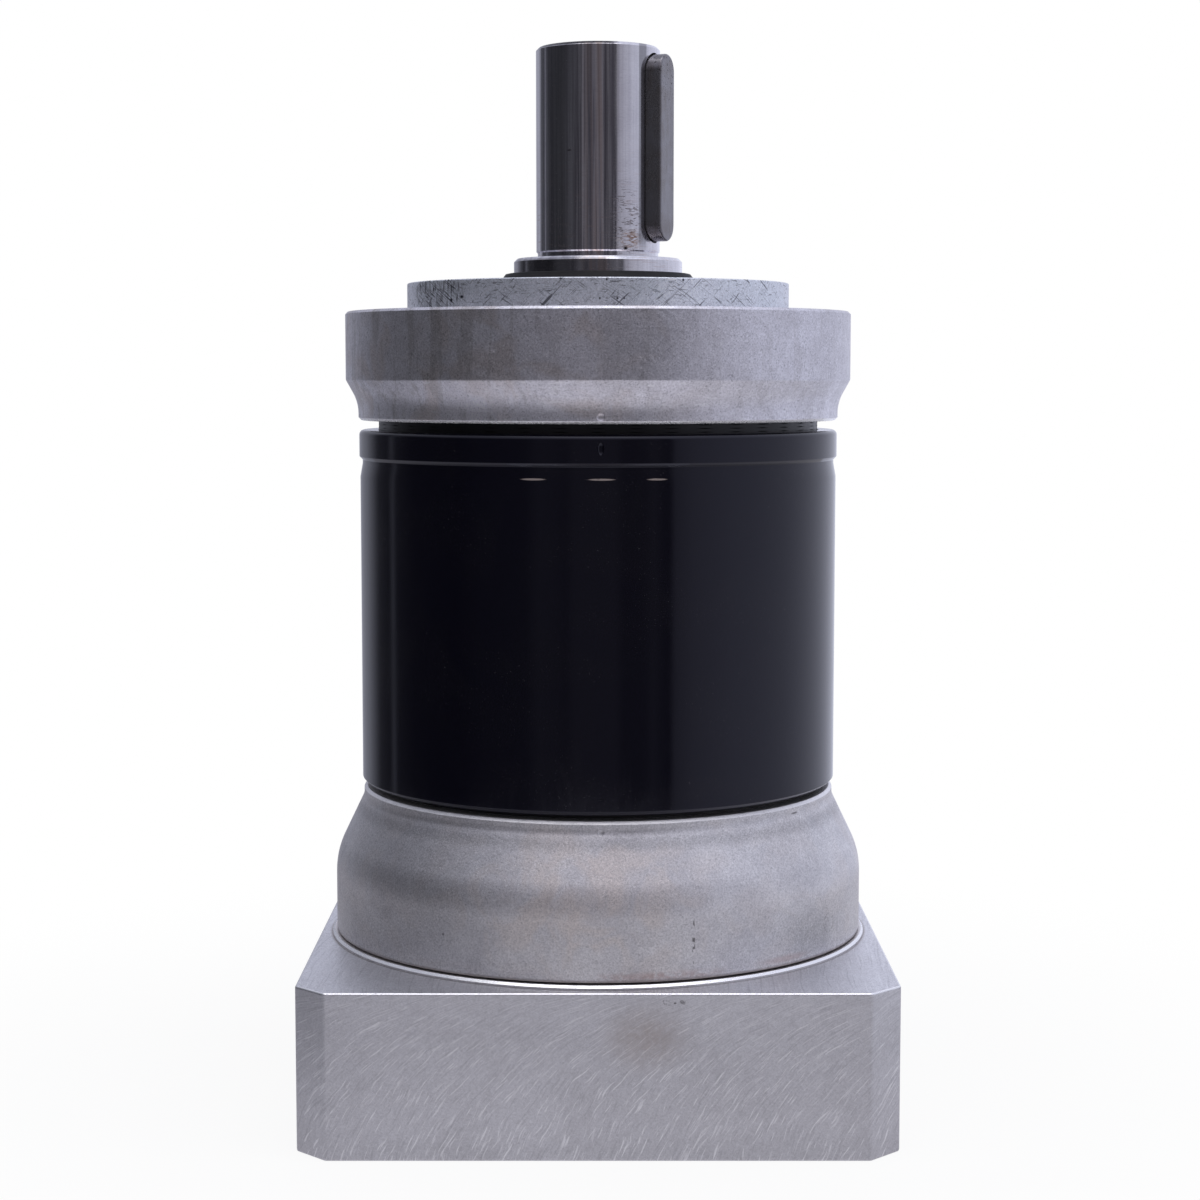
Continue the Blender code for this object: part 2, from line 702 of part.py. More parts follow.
def build_output_flange(housing):
    groove = OUTPUT_BORE + CIRCLIP_BITE
    seal_bore = OUTPUT_SEAL_RADIUS + SEAT_GAP
    land = OUTPUT_BORE - LAND_OVERLAP
    profile = [
        (seal_bore, PILOT_TOP),
        (PILOT_RADIUS - PILOT_CHAMFER, PILOT_TOP),
        (PILOT_RADIUS, PILOT_TOP - PILOT_CHAMFER),
        (PILOT_RADIUS, FLANGE_FACE),
        (FLANGE_RADIUS - FLANGE_CHAMFER, FLANGE_FACE),
        (FLANGE_RADIUS, FLANGE_FACE - FLANGE_CHAMFER),
        *cove_profile(),
        (COVE_FOOT_RADIUS, FLANGE_BOTTOM + COVE_FOOT_ROUND),
        (COVE_FOOT_RADIUS - COVE_FOOT_ROUND, FLANGE_BOTTOM),
        (SPIGOT_RADIUS, FLANGE_BOTTOM),
        (SPIGOT_RADIUS, UPPER_SPIGOT_END),
        (OUTPUT_BORE, UPPER_SPIGOT_END),
        (OUTPUT_BORE, FLANGE_GROOVE_BOTTOM),
        (groove, FLANGE_GROOVE_BOTTOM),
        (groove, REAR_BEARING_BOTTOM),
        (OUTPUT_BORE, REAR_BEARING_BOTTOM),
        (OUTPUT_BORE, FLANGE_LAND_BOTTOM),
        (land, FLANGE_LAND_BOTTOM),
        (land, FLANGE_LAND_TOP),
        (seal_bore, FLANGE_LAND_TOP),
    ]
    flange = add_part("output_flange", turned(profile, SHELL_STEPS), "machined_aluminium", housing)
    hole = cylinder(FLANGE_BOLT_RADIUS, FLANGE_FACE - FLANGE_BOLT_DEPTH, FLANGE_FACE + MM, SMALL_STEPS)
    holes = copies_around(hole, FLANGE_BOLT_CIRCLE, FLANGE_BOLT_COUNT, math.pi / FLANGE_BOLT_COUNT)
    combine(flange, add_cutter("flange_bolt_holes", holes))


def build_ring_gear(housing):
    counterbore = SPIGOT_RADIUS + SEAT_GAP
    blank_bore = RING_TIP - 2 * MM
    band = RING_RADIUS + RING_BAND_STEP
    groove_top = RING_TOP - RING_BAND_HEIGHT
    groove_bottom = groove_top - RING_GROOVE_WIDTH
    profile = [
        (counterbore, RING_TOP),
        *arc((band - RING_TOP_ROUND, RING_TOP - RING_TOP_ROUND), RING_TOP_ROUND, math.pi / 2, 0, 2),
        (band, groove_top),
        (RING_RADIUS - RING_GROOVE_DEPTH, groove_top - RING_GROOVE_WIDTH / 3),
        (RING_RADIUS - RING_GROOVE_DEPTH, groove_bottom + RING_GROOVE_WIDTH / 3),
        (RING_RADIUS, groove_bottom),
        (RING_RADIUS, RING_BOTTOM + RING_BOTTOM_BEVEL),
        (RING_RADIUS - RING_BOTTOM_BEVEL, RING_BOTTOM),
        (counterbore, RING_BOTTOM),
        (counterbore, TEETH_BOTTOM),
        (blank_bore, TEETH_BOTTOM),
        (blank_bore, TEETH_TOP),
        (counterbore, TEETH_TOP),
    ]
    ring = add_part("ring_gear", turned(profile, SHELL_STEPS), "black_coating", housing)
    spaces = tooth_outline(RING_TEETH, RING_TIP, RING_ROOT, -FLANK_THINNING, 0)
    combine(ring, add_cutter("ring_tooth_spaces", prism([spaces], TEETH_BOTTOM - MM, TEETH_TOP + MM)))


# From a short straight neck the bell runs out as a cone and turns down over a large shoulder.
def flare_profile():
    bend = 1 - math.cos(BELL_FLARE_ANGLE)
    step = BELL_RADIUS - BELL_TOP_RADIUS
    shoulder = min(BELL_SHOULDER_RADIUS, step / bend)
    neck = BELL_TOP - BELL_NECK
    cone_height = (step - bend * shoulder) / math.tan(BELL_FLARE_ANGLE)
    tangent = BELL_NECK_FILLET * math.tan(BELL_FLARE_ANGLE / 2)
    fillet_centre = (BELL_TOP_RADIUS + BELL_NECK_FILLET, neck + tangent)
    fillet = arc(fillet_centre, BELL_NECK_FILLET, math.pi, math.pi + BELL_FLARE_ANGLE, 2)
    end = neck - cone_height - shoulder * math.sin(BELL_FLARE_ANGLE)
    return fillet + arc((BELL_RADIUS - shoulder, end), shoulder, BELL_FLARE_ANGLE, 0)


def build_input_bell(housing):
    groove = INPUT_BORE + CIRCLIP_BITE
    seal_bore = INPUT_SEAL_RADIUS + SEAT_GAP
    land = INPUT_BORE - LAND_OVERLAP
    profile = [
        (INPUT_BORE, LOWER_SPIGOT_END),
        (SPIGOT_RADIUS, LOWER_SPIGOT_END),
        (SPIGOT_RADIUS, BELL_TOP),
        (BELL_TOP_RADIUS - BELL_TOP_CHAMFER, BELL_TOP),
        (BELL_TOP_RADIUS, BELL_TOP - BELL_TOP_CHAMFER),
        *flare_profile(),
        (BELL_RADIUS, BELL_BOTTOM),
        (REGISTER_RADIUS, BELL_BOTTOM),
        (REGISTER_RADIUS, BELL_BOTTOM - REGISTER_DEPTH),
        (CAVITY_RADIUS, BELL_BOTTOM - REGISTER_DEPTH),
        (CAVITY_RADIUS, INPUT_SEAL_MOUTH),
        (seal_bore, INPUT_SEAL_MOUTH),
        (seal_bore, BELL_LAND_BOTTOM),
        (land, BELL_LAND_BOTTOM),
        (land, BELL_LAND_TOP),
        (INPUT_BORE, BELL_LAND_TOP),
        (INPUT_BORE, INPUT_BEARING_TOP),
        (groove, INPUT_BEARING_TOP),
        (groove, INPUT_GROOVE_TOP),
        (INPUT_BORE, INPUT_GROOVE_TOP),
    ]
    bell = add_part("input_bell", turned(profile, SHELL_STEPS), "machined_aluminium", housing)
    end = BELL_BOTTOM + ADAPTER_SCREW_BITE + MM
    hole = cylinder(ADAPTER_SCREW_RADIUS + SEAT_GAP, BELL_BOTTOM - MM, end, SMALL_STEPS)
    holes = copies_around(hole, ADAPTER_SCREW_CIRCLE, ADAPTER_SCREW_COUNT)
    combine(bell, add_cutter("bell_screw_holes", holes))


def build_motor_adapter(housing):
    half = ADAPTER_WIDTH / 2
    inset = half - ADAPTER_CORNER
    outline = [(half, -inset), (half, inset), (inset, half), (-inset, half)]
    outline += [(-x, -y) for x, y in outline]
    adapter = add_part("motor_adapter", prism([outline], 0, ADAPTER_HEIGHT), "machined_aluminium", housing)
    bevel = adapter.modifiers.new("Edges", "BEVEL")
    bevel.width = ADAPTER_EDGE
    bevel.segments = 1
    bevel.limit_method = "ANGLE"

    seat = cylinder(SEAT_RING_RADIUS, ADAPTER_HEIGHT - MM, SEAT_RING_TOP, SHELL_STEPS)
    combine(adapter, add_cutter("adapter_seat_ring", seat), "UNION")

    bolt = cylinder(MOTOR_BOLT_RADIUS, -MM, MOTOR_BOLT_DEPTH, SMALL_STEPS)
    bolts = copies_around(bolt, MOTOR_BOLT_CIRCLE, MOTOR_BOLT_COUNT, math.pi / MOTOR_BOLT_COUNT)
    combine(adapter, add_cutter("motor_bolt_holes", bolts))

    head_hole = moved(
        stepped_hole(
            ADAPTER_SCREW_RADIUS + SEAT_GAP,
            screw_head_radius(ADAPTER_SCREW_RADIUS) + SEAT_GAP,
            -SEAT_RING_TOP - MM,
            -adapter_screw_seat() - SEAT_GAP,
            -MOTOR_PILOT_DEPTH + MM,
        ),
        Matrix.Rotation(math.pi, 4, "X"),
    )
    head_holes = copies_around(head_hole, ADAPTER_SCREW_CIRCLE, ADAPTER_SCREW_COUNT)
    combine(adapter, add_cutter("adapter_screw_holes", head_holes))

    register_floor = BELL_BOTTOM - REGISTER_DEPTH - SEAT_GAP
    register = REGISTER_RADIUS + SEAT_GAP
    bore = [
        (0, SEAT_RING_TOP + MM),
        (register, SEAT_RING_TOP + MM),
        (register, register_floor),
        (CAVITY_RADIUS, register_floor),
        (CAVITY_RADIUS, MOTOR_PILOT_DEPTH),
        (MOTOR_PILOT_RADIUS, MOTOR_PILOT_DEPTH),
        (MOTOR_PILOT_RADIUS, -MM),
        (0, -MM),
    ]
    combine(adapter, add_cutter("adapter_bore", turned(bore, SHELL_STEPS)))

    access = stepped_hole(
        ACCESS_RADIUS,
        ACCESS_RADIUS + PLUG_HEAD_STEP + SEAT_GAP,
        CAVITY_RADIUS / 2,
        half - PLUG_HEAD_HEIGHT - 2 * SEAT_GAP,
        half + MM,
        SMALL_STEPS + 4,
    )
    combine(adapter, add_cutter("access_hole", moved(access, across_clamp())))


# Turns what is modelled along Z to lie along +Y on the clamp screw's axis
def across_clamp():
    place = Matrix.Translation((CLAMP_SCREW_OFFSET, 0, CLAMP_SCREW_HEIGHT))
    return place @ Matrix.Rotation(-math.pi / 2, 4, "X")


def build_access_plug(housing):
    face = ADAPTER_WIDTH / 2 - SEAT_GAP
    seat = face - PLUG_HEAD_HEIGHT
    head = ACCESS_RADIUS + PLUG_HEAD_STEP
    shank = ACCESS_RADIUS - SEAT_GAP
    plug = stepped_hole(shank, head, seat - PLUG_LENGTH, seat, face, SMALL_STEPS + 4)
    add_part("access_plug", moved(plug, across_clamp()), "seal_rubber", housing)


# Screws


def screw_head_radius(radius):
    return radius * 5 / 3


def screw_head_height(radius):
    return radius * 2


def adapter_screw_seat():
    return MOTOR_PILOT_DEPTH + SCREW_HEAD_RECESS + screw_head_height(ADAPTER_SCREW_RADIUS)


# A socket head screw along Z with its head up and the underside of the head at the seat
def screw_mesh(radius, seat, length):
    top = seat + screw_head_height(radius)
    head = screw_head_radius(radius)
    chamfer = radius / 6
    profile = [
        (0, top),
        (head - chamfer, top),
        (head, top - chamfer),
        (head, seat),
        (radius, seat),
        (radius, seat - length),
        (0, seat - length),
    ]
    return turned(profile, SMALL_STEPS)


def socket_mesh(radius, seat):
    top = seat + screw_head_height(radius)
    return prism([circle_outline(radius * 0.96, 6)], top - radius, top + MM)


def build_adapter_screws(housing):
    seat = adapter_screw_seat()
    length = BELL_BOTTOM + ADAPTER_SCREW_BITE - seat
    head_down = Matrix.Rotation(math.pi, 4, "X")
    for number, angle in enumerate(around(ADAPTER_SCREW_COUNT), 1):
        place = Matrix.Translation((*polar(ADAPTER_SCREW_CIRCLE, angle), 0)) @ head_down
        mesh = moved(screw_mesh(ADAPTER_SCREW_RADIUS, -seat, length), place)
        screw = add_part(f"adapter_screw_{number}", mesh, "black_oxide", housing)
        socket = moved(socket_mesh(ADAPTER_SCREW_RADIUS, -seat), place)
        combine(screw, add_cutter(f"adapter_screw_socket_{number}", socket))


# Input side


def build_input_hub(input_body):
    groove = HUB_SEAT_RADIUS - CIRCLIP_BITE
    collar = HUB_SEAT_RADIUS + HUB_COLLAR_STEP
    seat_top = INPUT_GROOVE_TOP + GROOVE_LAND
    core_top = (STAGE1_BOTTOM + STAGE1_TOP) / 2
    bore_end = HUB_BOTTOM + MOTOR_SHAFT_DEPTH
    profile = [
        (0, core_top),
        (HUB_NECK_RADIUS, core_top),
        (HUB_NECK_RADIUS, seat_top),
        (HUB_SEAT_RADIUS - HUB_SEAT_CHAMFER, seat_top),
        (HUB_SEAT_RADIUS, seat_top - HUB_SEAT_CHAMFER),
        (HUB_SEAT_RADIUS, INPUT_GROOVE_TOP),
        (groove, INPUT_GROOVE_TOP),
        (groove, INPUT_BEARING_TOP),
        (HUB_SEAT_RADIUS, INPUT_BEARING_TOP),
        (HUB_SEAT_RADIUS, BELL_LAND_TOP),
        (collar, BELL_LAND_TOP),
        (collar, BELL_LAND_BOTTOM),
        (HUB_SEAT_RADIUS, BELL_LAND_BOTTOM),
        (HUB_SEAT_RADIUS, HUB_SHOULDER),
        (HUB_CLAMP_RADIUS, HUB_SHOULDER),
        (HUB_CLAMP_RADIUS, HUB_BOTTOM),
        (MOTOR_SHAFT_RADIUS, HUB_BOTTOM),
        (MOTOR_SHAFT_RADIUS, bore_end),
        (0, bore_end),
    ]
    hub = add_part("input_hub", turned(profile, CARRIER_STEPS), "gear_steel", input_body)
    combine(hub, add_cutter("stage1_sun_teeth", sun_mesh(PIN_HEAD_BOTTOM, STAGE1_TOP)), "UNION")
    half = HUB_SLOT_WIDTH / 2
    slot = block(
        (MOTOR_SHAFT_RADIUS / 2, -half, HUB_BOTTOM - MM),
        (HUB_CLAMP_RADIUS + MM, half, HUB_SHOULDER - HUB_SLOT_LAND),
    )
    combine(hub, add_cutter("hub_slot", slot))


def build_clamp(input_body):
    bottom = CLAMP_RING_TOP - CLAMP_RING_WIDTH
    ring = turned(tube_profile(HUB_CLAMP_RADIUS + SEAT_GAP, CLAMP_RING_RADIUS, bottom, CLAMP_RING_TOP),
                  CARRIER_STEPS)
    clamp = add_part("clamp_ring", ring, "black_oxide", input_body)
    half = CLAMP_SLOT_WIDTH / 2
    slot = block(
        (HUB_CLAMP_RADIUS / 2, -half, bottom - MM),
        (CLAMP_RING_RADIUS + MM, half, CLAMP_RING_TOP + MM),
    )
    combine(clamp, add_cutter("clamp_slot", slot))
    hole = stepped_hole(
        CLAMP_SCREW_RADIUS + SEAT_GAP,
        screw_head_radius(CLAMP_SCREW_RADIUS) + SEAT_GAP,
        -CLAMP_RING_RADIUS,
        CLAMP_SCREW_SEAT - SEAT_GAP,
        CLAMP_RING_RADIUS,
    )
    combine(clamp, add_cutter("clamp_screw_hole", moved(hole, across_clamp())))
    mesh = moved(screw_mesh(CLAMP_SCREW_RADIUS, CLAMP_SCREW_SEAT, CLAMP_SCREW_LENGTH), across_clamp())
    screw = add_part("clamp_screw", mesh, "black_oxide", input_body)
    socket = moved(socket_mesh(CLAMP_SCREW_RADIUS, CLAMP_SCREW_SEAT), across_clamp())
    combine(screw, add_cutter("clamp_screw_socket", socket))


# Stage 1 carrier with the stage 2 sun


def build_stage1_carrier(middle_body):
    bore = SUN_SHANK_RADIUS + SEAT_GAP
    disc = turned(tube_profile(bore, CARRIER_RADIUS, STAGE1_CARRIER_BOTTOM, STAGE1_CARRIER_TOP),
                  CARRIER_STEPS)
    carrier = add_part("stage1_carrier", disc, "gear_steel", middle_body)
    holes = pin_holes(STAGE1_CARRIER_BOTTOM, STAGE1_CARRIER_TOP)
    combine(carrier, add_cutter("stage1_pin_holes", holes))


def build_stage2_sun(middle_body):
    teeth_bottom = STAGE1_CARRIER_TOP + SEAT_GAP
    sun = add_part("stage2_sun", sun_mesh(teeth_bottom, STAGE2_TOP), "gear_steel", middle_body)
    shank = cylinder(SUN_SHANK_RADIUS, STAGE1_CARRIER_BOTTOM, POCKET_BOTTOM, SMALL_STEPS + 4)
    combine(sun, add_cutter("stage2_sun_shank", shank), "UNION")


def stage1_pin_mesh():
    head_top = PIN_HEAD_BOTTOM + PIN_HEAD_HEIGHT
    profile = [
        (0, STAGE1_CARRIER_TOP),
        (PIN_RADIUS, STAGE1_CARRIER_TOP),
        (PIN_RADIUS, head_top),
        (PIN_HEAD_RADIUS, head_top),
        (PIN_HEAD_RADIUS, PIN_HEAD_BOTTOM),
        (0, PIN_HEAD_BOTTOM),
    ]
    return turned(profile, SMALL_STEPS)


# Output side


# A clearance circle round the sun joined with one round each planet
def pocket_outline(radius):
    meeting = math.acos(CENTRE_DISTANCE / (2 * radius))
    outline = []
    for angle in planet_angles():
        planet = polar(CENTRE_DISTANCE, angle)
        next_angle = angle + 2 * math.pi / PLANET_COUNT
        outline += arc(planet, radius, angle + meeting - math.pi, angle + math.pi - meeting, CARRIER_STEPS)
        outline += arc((0, 0), radius, angle + meeting, next_angle - meeting)[1:-1]
    return outline


def build_output_shaft(output_body):
    circlip_top = FRONT_BEARING_TOP + CIRCLIP_GROOVE
    groove = SHAFT_SEAT_RADIUS - CIRCLIP_BITE
    relief = SHAFT_RADIUS - RELIEF_DEPTH
    collar = SHAFT_SEAT_RADIUS + BEARING_COLLAR_STEP
    hole_end = SHAFT_TOP - CENTRE_HOLE_DEPTH
    profile = [
        (0, hole_end),
        (CENTRE_HOLE_RADIUS, hole_end),
        (CENTRE_HOLE_RADIUS, SHAFT_TOP - CENTRE_COUNTERSINK),
        (CENTRE_HOLE_RADIUS + CENTRE_COUNTERSINK, SHAFT_TOP),
        (SHAFT_RADIUS - SHAFT_CHAMFER, SHAFT_TOP),
        (SHAFT_RADIUS, SHAFT_TOP - SHAFT_CHAMFER),
        (SHAFT_RADIUS, SHOULDER_TOP + RELIEF_WIDTH),
        (relief, SHOULDER_TOP + RELIEF_WIDTH - RELIEF_DEPTH),
        (relief, SHOULDER_TOP),
        (SHAFT_SEAT_RADIUS - SHOULDER_CHAMFER, SHOULDER_TOP),
        (SHAFT_SEAT_RADIUS, SHOULDER_TOP - SHOULDER_CHAMFER),
        (SHAFT_SEAT_RADIUS, circlip_top),
        (groove, circlip_top),
        (groove, FRONT_BEARING_TOP),
        (SHAFT_SEAT_RADIUS, FRONT_BEARING_TOP),
        (SHAFT_SEAT_RADIUS, REAR_BEARING_BOTTOM - SEAT_GAP),
        (collar, REAR_BEARING_BOTTOM - SEAT_GAP),
        (collar, CAGE_TOP),
        (CARRIER_RADIUS, CAGE_TOP),
        (CARRIER_RADIUS, CAGE_BOTTOM),
        (0, CAGE_BOTTOM),
    ]
    shaft = add_part("output_shaft", turned(profile, SHAFT_STEPS), "ground_steel", output_body)
    pockets = prism([pocket_outline(PLANET_TIP + TOOTH_TIP_GAP)], POCKET_BOTTOM, POCKET_TOP)
    combine(shaft, add_cutter("carrier_pockets", pockets))
    sun_hole = cylinder(SUN_TIP + RUNNING_GAP, CAGE_BOTTOM - MM, POCKET_BOTTOM + MM, CARRIER_STEPS)
    combine(shaft, add_cutter("carrier_sun_hole", sun_hole))
    combine(shaft, add_cutter("carrier_pin_holes", pin_holes(CAGE_BOTTOM, CAGE_TOP)))
    floor = SHAFT_RADIUS + KEY_PROUD - KEY_HEIGHT - SEAT_GAP
    slot = stadium_outline(KEY_LENGTH + 2 * SEAT_GAP, KEY_WIDTH + 2 * SEAT_GAP)
    keyway = prism([slot], floor, SHAFT_SEAT_RADIUS)
    combine(shaft, add_cutter("keyway", moved(keyway, key_placement())))


# Stands a flat outline on the shaft: its length along the shaft, its height outwards at the key
def key_placement():
    outward = Vector((*polar(1, KEY_ANGLE), 0))
    along = Vector((0, 0, 1))
    sideways = outward.cross(along)
    axes = Matrix((along, sideways, outward)).transposed().to_4x4()
    middle = SHAFT_TOP - KEY_FROM_SHAFT_END - KEY_LENGTH / 2
    return Matrix.Translation((0, 0, middle)) @ axes


def build_key(output_body):
    top = SHAFT_RADIUS + KEY_PROUD
    mesh = prism([stadium_outline(KEY_LENGTH, KEY_WIDTH)], top - KEY_HEIGHT, top)
    key = add_part("shaft_key", moved(mesh, key_placement()), "ground_steel", output_body)
    bevel = key.modifiers.new("Edges", "BEVEL")
    bevel.width = KEY_EDGE
    bevel.segments = 1
    bevel.limit_method = "ANGLE"
    bevel.angle_limit = math.radians(40)


def build_spacers(housing, output_body):
    inner = SHAFT_SEAT_RADIUS + SEAT_GAP
    inner_ring = tube_profile(inner, inner + SPACER_WALL, SPACER_BOTTOM, SPACER_TOP)
    outer_ring = tube_profile(
        OUTPUT_BEARING_RADIUS - SPACER_WALL, OUTPUT_BEARING_RADIUS, SPACER_BOTTOM, SPACER_TOP
    )
    add_part("bearing_spacer_inner", turned(inner_ring, RACE_STEPS), "bearing_steel", output_body)
    add_part("bearing_spacer_outer", turned(outer_ring, RACE_STEPS), "bearing_steel", housing)


# Assembly


def build_housing(housing):
    build_output_flange(housing)
    build_ring_gear(housing)
    build_input_bell(housing)
    build_motor_adapter(housing)
    build_access_plug(housing)
    build_adapter_screws(housing)
    build_bore_circlip("flange_circlip", OUTPUT_BORE, FLANGE_GROOVE_BOTTOM, housing)
    build_bore_circlip("bell_circlip", INPUT_BORE, INPUT_BEARING_TOP, housing)
    build_seal("output_seal", OUTPUT_SEAL_RADIUS, SHAFT_SEAT_RADIUS, PILOT_TOP,
               OUTPUT_SEAL_BOTTOM, OUTPUT_LIP_STANDOUT, housing)
    build_seal("input_seal", INPUT_SEAL_RADIUS, HUB_SEAT_RADIUS, INPUT_SEAL_BOTTOM,
               INPUT_SEAL_BOTTOM + SEAL_WIDTH, INPUT_LIP_STANDOUT, housing)


def build_output_side(housing, output_body):
    build_output_shaft(output_body)
    build_key(output_body)
    build_spacers(housing, output_body)
    build_shaft_circlip("shaft_circlip", SHAFT_SEAT_RADIUS, FRONT_BEARING_TOP, output_body)
    for name, bottom in (("front_bearing", FRONT_BEARING_BOTTOM), ("rear_bearing", REAR_BEARING_BOTTOM)):
        build_bearing(name, SHAFT_SEAT_RADIUS, OUTPUT_BEARING_RADIUS, OUTPUT_BALL_RADIUS,
                      OUTPUT_BALL_COUNT, bottom, OUTPUT_BEARING_WIDTH, housing, output_body)
    stage2_pin = cylinder(PIN_RADIUS, CAGE_BOTTOM, CAGE_TOP, SMALL_STEPS)
    build_planets("stage2", output_body, STAGE2_BOTTOM, STAGE2_TOP, stage2_pin)


def build_middle(middle_body):
    build_stage1_carrier(middle_body)
    build_stage2_sun(middle_body)
    build_planets("stage1", middle_body, STAGE1_BOTTOM, STAGE1_TOP, stage1_pin_mesh())


def build_input_side(housing, input_body):
    build_input_hub(input_body)
    build_clamp(input_body)
    build_shaft_circlip("hub_circlip", HUB_SEAT_RADIUS, INPUT_BEARING_TOP, input_body)
    build_bearing("input_bearing", HUB_SEAT_RADIUS, INPUT_BEARING_RADIUS, INPUT_BALL_RADIUS,
                  INPUT_BALL_COUNT, INPUT_BEARING_BOTTOM, INPUT_BEARING_WIDTH, housing, input_body)


housing = body("housing")
output_body = body("output_axis", housing)
middle_body = body("middle_axis", housing)
input_body = body("input_axis", housing)
build_housing(housing)
build_output_side(housing, output_body)
build_middle(middle_body)
build_input_side(housing, input_body)
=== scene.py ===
# Looks of the planetary gearbox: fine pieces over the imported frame, their finishes and the studio
import math

import bmesh
import bpy
from mathutils import Matrix, Vector


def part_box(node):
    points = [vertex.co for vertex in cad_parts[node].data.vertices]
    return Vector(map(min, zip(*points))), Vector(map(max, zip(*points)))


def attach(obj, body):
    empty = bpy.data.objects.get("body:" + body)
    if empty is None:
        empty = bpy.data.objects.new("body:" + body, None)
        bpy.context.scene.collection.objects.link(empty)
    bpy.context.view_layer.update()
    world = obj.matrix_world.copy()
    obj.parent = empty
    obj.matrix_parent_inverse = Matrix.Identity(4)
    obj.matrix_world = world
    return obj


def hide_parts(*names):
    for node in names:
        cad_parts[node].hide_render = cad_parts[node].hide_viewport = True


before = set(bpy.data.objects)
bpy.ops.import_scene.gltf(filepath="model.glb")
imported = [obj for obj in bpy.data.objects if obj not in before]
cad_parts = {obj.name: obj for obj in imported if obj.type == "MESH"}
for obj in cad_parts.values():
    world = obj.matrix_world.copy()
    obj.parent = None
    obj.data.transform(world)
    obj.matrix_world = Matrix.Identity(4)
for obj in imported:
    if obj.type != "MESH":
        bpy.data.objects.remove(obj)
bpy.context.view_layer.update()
print("frame loaded")

mm = 0.001
white = (1.0, 1.0, 1.0)
# black for the spigots where they show in the narrow gaps at the flange's and the bell's necks
gapBlack = (0.004, 0.004, 0.006)
shellSegments = 192
smallSegments = 64
holeSegments = 48
firstBolt = 45  # degrees from the X axis to the first hole of a bolt circle
flatCorner = 20  # degrees; a corner that turns less isn't rounded
roundStep = 25  # degrees of a round that one facet takes


class Named(dict):  # a dictionary whose values are also read with a dot
    __getattr__ = dict.__getitem__


# Shader and Geometry Nodes sums

def findSocket(sockets, key):
    if isinstance(key, int):
        return sockets[key]
    for socket in sockets:
        if socket.identifier == key:
            return socket
    return next(socket for socket in sockets if socket.name == key and socket.enabled)


class Signal:  # a socket of a node tree that sums can be written with
    def __init__(self, tree, socket=None):
        self.tree = tree
        self.socket = socket

    def node(self, kind, settings=None, sockets=None, take=0):
        node = self.tree.nodes.new(kind)
        for name, value in (settings or {}).items():
            if name == "stops":
                setStops(node.color_ramp, value)
            else:
                setattr(node, name, value)
        for name, value in (sockets or {}).items():
            socket = findSocket(node.inputs, name)
            if isinstance(value, Signal):
                self.tree.links.new(value.socket, socket)
            elif socket.type == "RGBA" and len(value) == 3:
                socket.default_value = (*value, 1)
            else:
                socket.default_value = value
        return Signal(self.tree, findSocket(node.outputs, take)) if len(node.outputs) else None

    def sum(self, operation, *values):
        return self.node("ShaderNodeMath", {"operation": operation}, dict(enumerate(values)))

    def __add__(self, other):
        return self.sum("ADD", self, other)

    def __radd__(self, other):
        return self.sum("ADD", other, self)

    def __sub__(self, other):
        return self.sum("SUBTRACT", self, other)

    def __rsub__(self, other):
        return self.sum("SUBTRACT", other, self)

    def __mul__(self, other):
        return self.sum("MULTIPLY", self, other)

    def __rmul__(self, other):
        return self.sum("MULTIPLY", other, self)

    def __truediv__(self, other):
        return self.sum("DIVIDE", self, other)


def setStops(ramp, stops):
    first, *middle, last = stops
    for element, (position, colour) in zip(ramp.elements, (first, last)):
        element.position = position
        element.color = (*colour, 1)
    for position, colour in middle:
        ramp.elements.new(position).color = (*colour, 1)


def vectorSum(operation, first, second):
    return first.node("ShaderNodeVectorMath", {"operation": operation}, {0: first, 1: second})


def parts(vector):
    return [vector.node("ShaderNodeSeparateXYZ", {}, {0: vector}, axis) for axis in "XYZ"]


def joined(sheet, x, y, z):
    return sheet.node("ShaderNodeCombineXYZ", {}, {0: x, 1: y, 2: z})


def between(value, low, high):  # 0 at low and 1 at high, eased; high may be the smaller
    sockets = {"Value": value, "From Min": low, "From Max": high}
    return value.node("ShaderNodeMapRange", {"interpolation_type": "SMOOTHSTEP"}, sockets)


def cloud(vector, size, detail=2, distortion=0.0, shift=0.0):  # noise with blots of about size mm
    moved = vectorSum("ADD", vector, (shift, 1.7 * shift, 2.3 * shift))
    sockets = {"Vector": moved, "Scale": 1 / size, "Detail": detail, "Distortion": distortion}
    return vector.node("ShaderNodeTexNoise", {}, sockets)


def tinted(factor, first, second):
    sockets = {"Factor_Float": factor, "A_Color": first, "B_Color": second}
    return factor.node("ShaderNodeMix", {"data_type": "RGBA"}, sockets, "Result_Color")


def lengthOf(vector):
    return vector.node("ShaderNodeVectorMath", {"operation": "LENGTH"}, {0: vector}, "Value")


def blot(spot, middle, spread, edge=0.3):  # 1 in a mark's middle, 0 outside it
    away = vectorSum("DIVIDE", vectorSum("SUBTRACT", spot, middle), spread)
    return between(lengthOf(away), 1.0, edge)


def band(value, middle, half, core=0.1):  # 1 where the value is at the middle, 0 from half away
    return between(absolute(value - middle), half, half * core)


def scaled(vector, factor):  # a colour made darker or lighter, or a place in another unit
    return vector.node("ShaderNodeVectorMath", {"operation": "SCALE"}, {0: vector, "Scale": factor})


def most(first, second):
    return first.sum("MAXIMUM", first, second)


def absolute(value):
    return value.sum("ABSOLUTE", value)


def root(value):
    return value.sum("SQRT", value)


def layered(colour, *layers):  # each layer is how much of it shows, and its colour
    for amount, over in layers:
        colour = tinted(amount, colour, over)
    return colour


def stretched(vector, across, up):  # noise looked up here runs long where the factor is small
    return vectorSum("MULTIPLY", vector, (across, across, up))


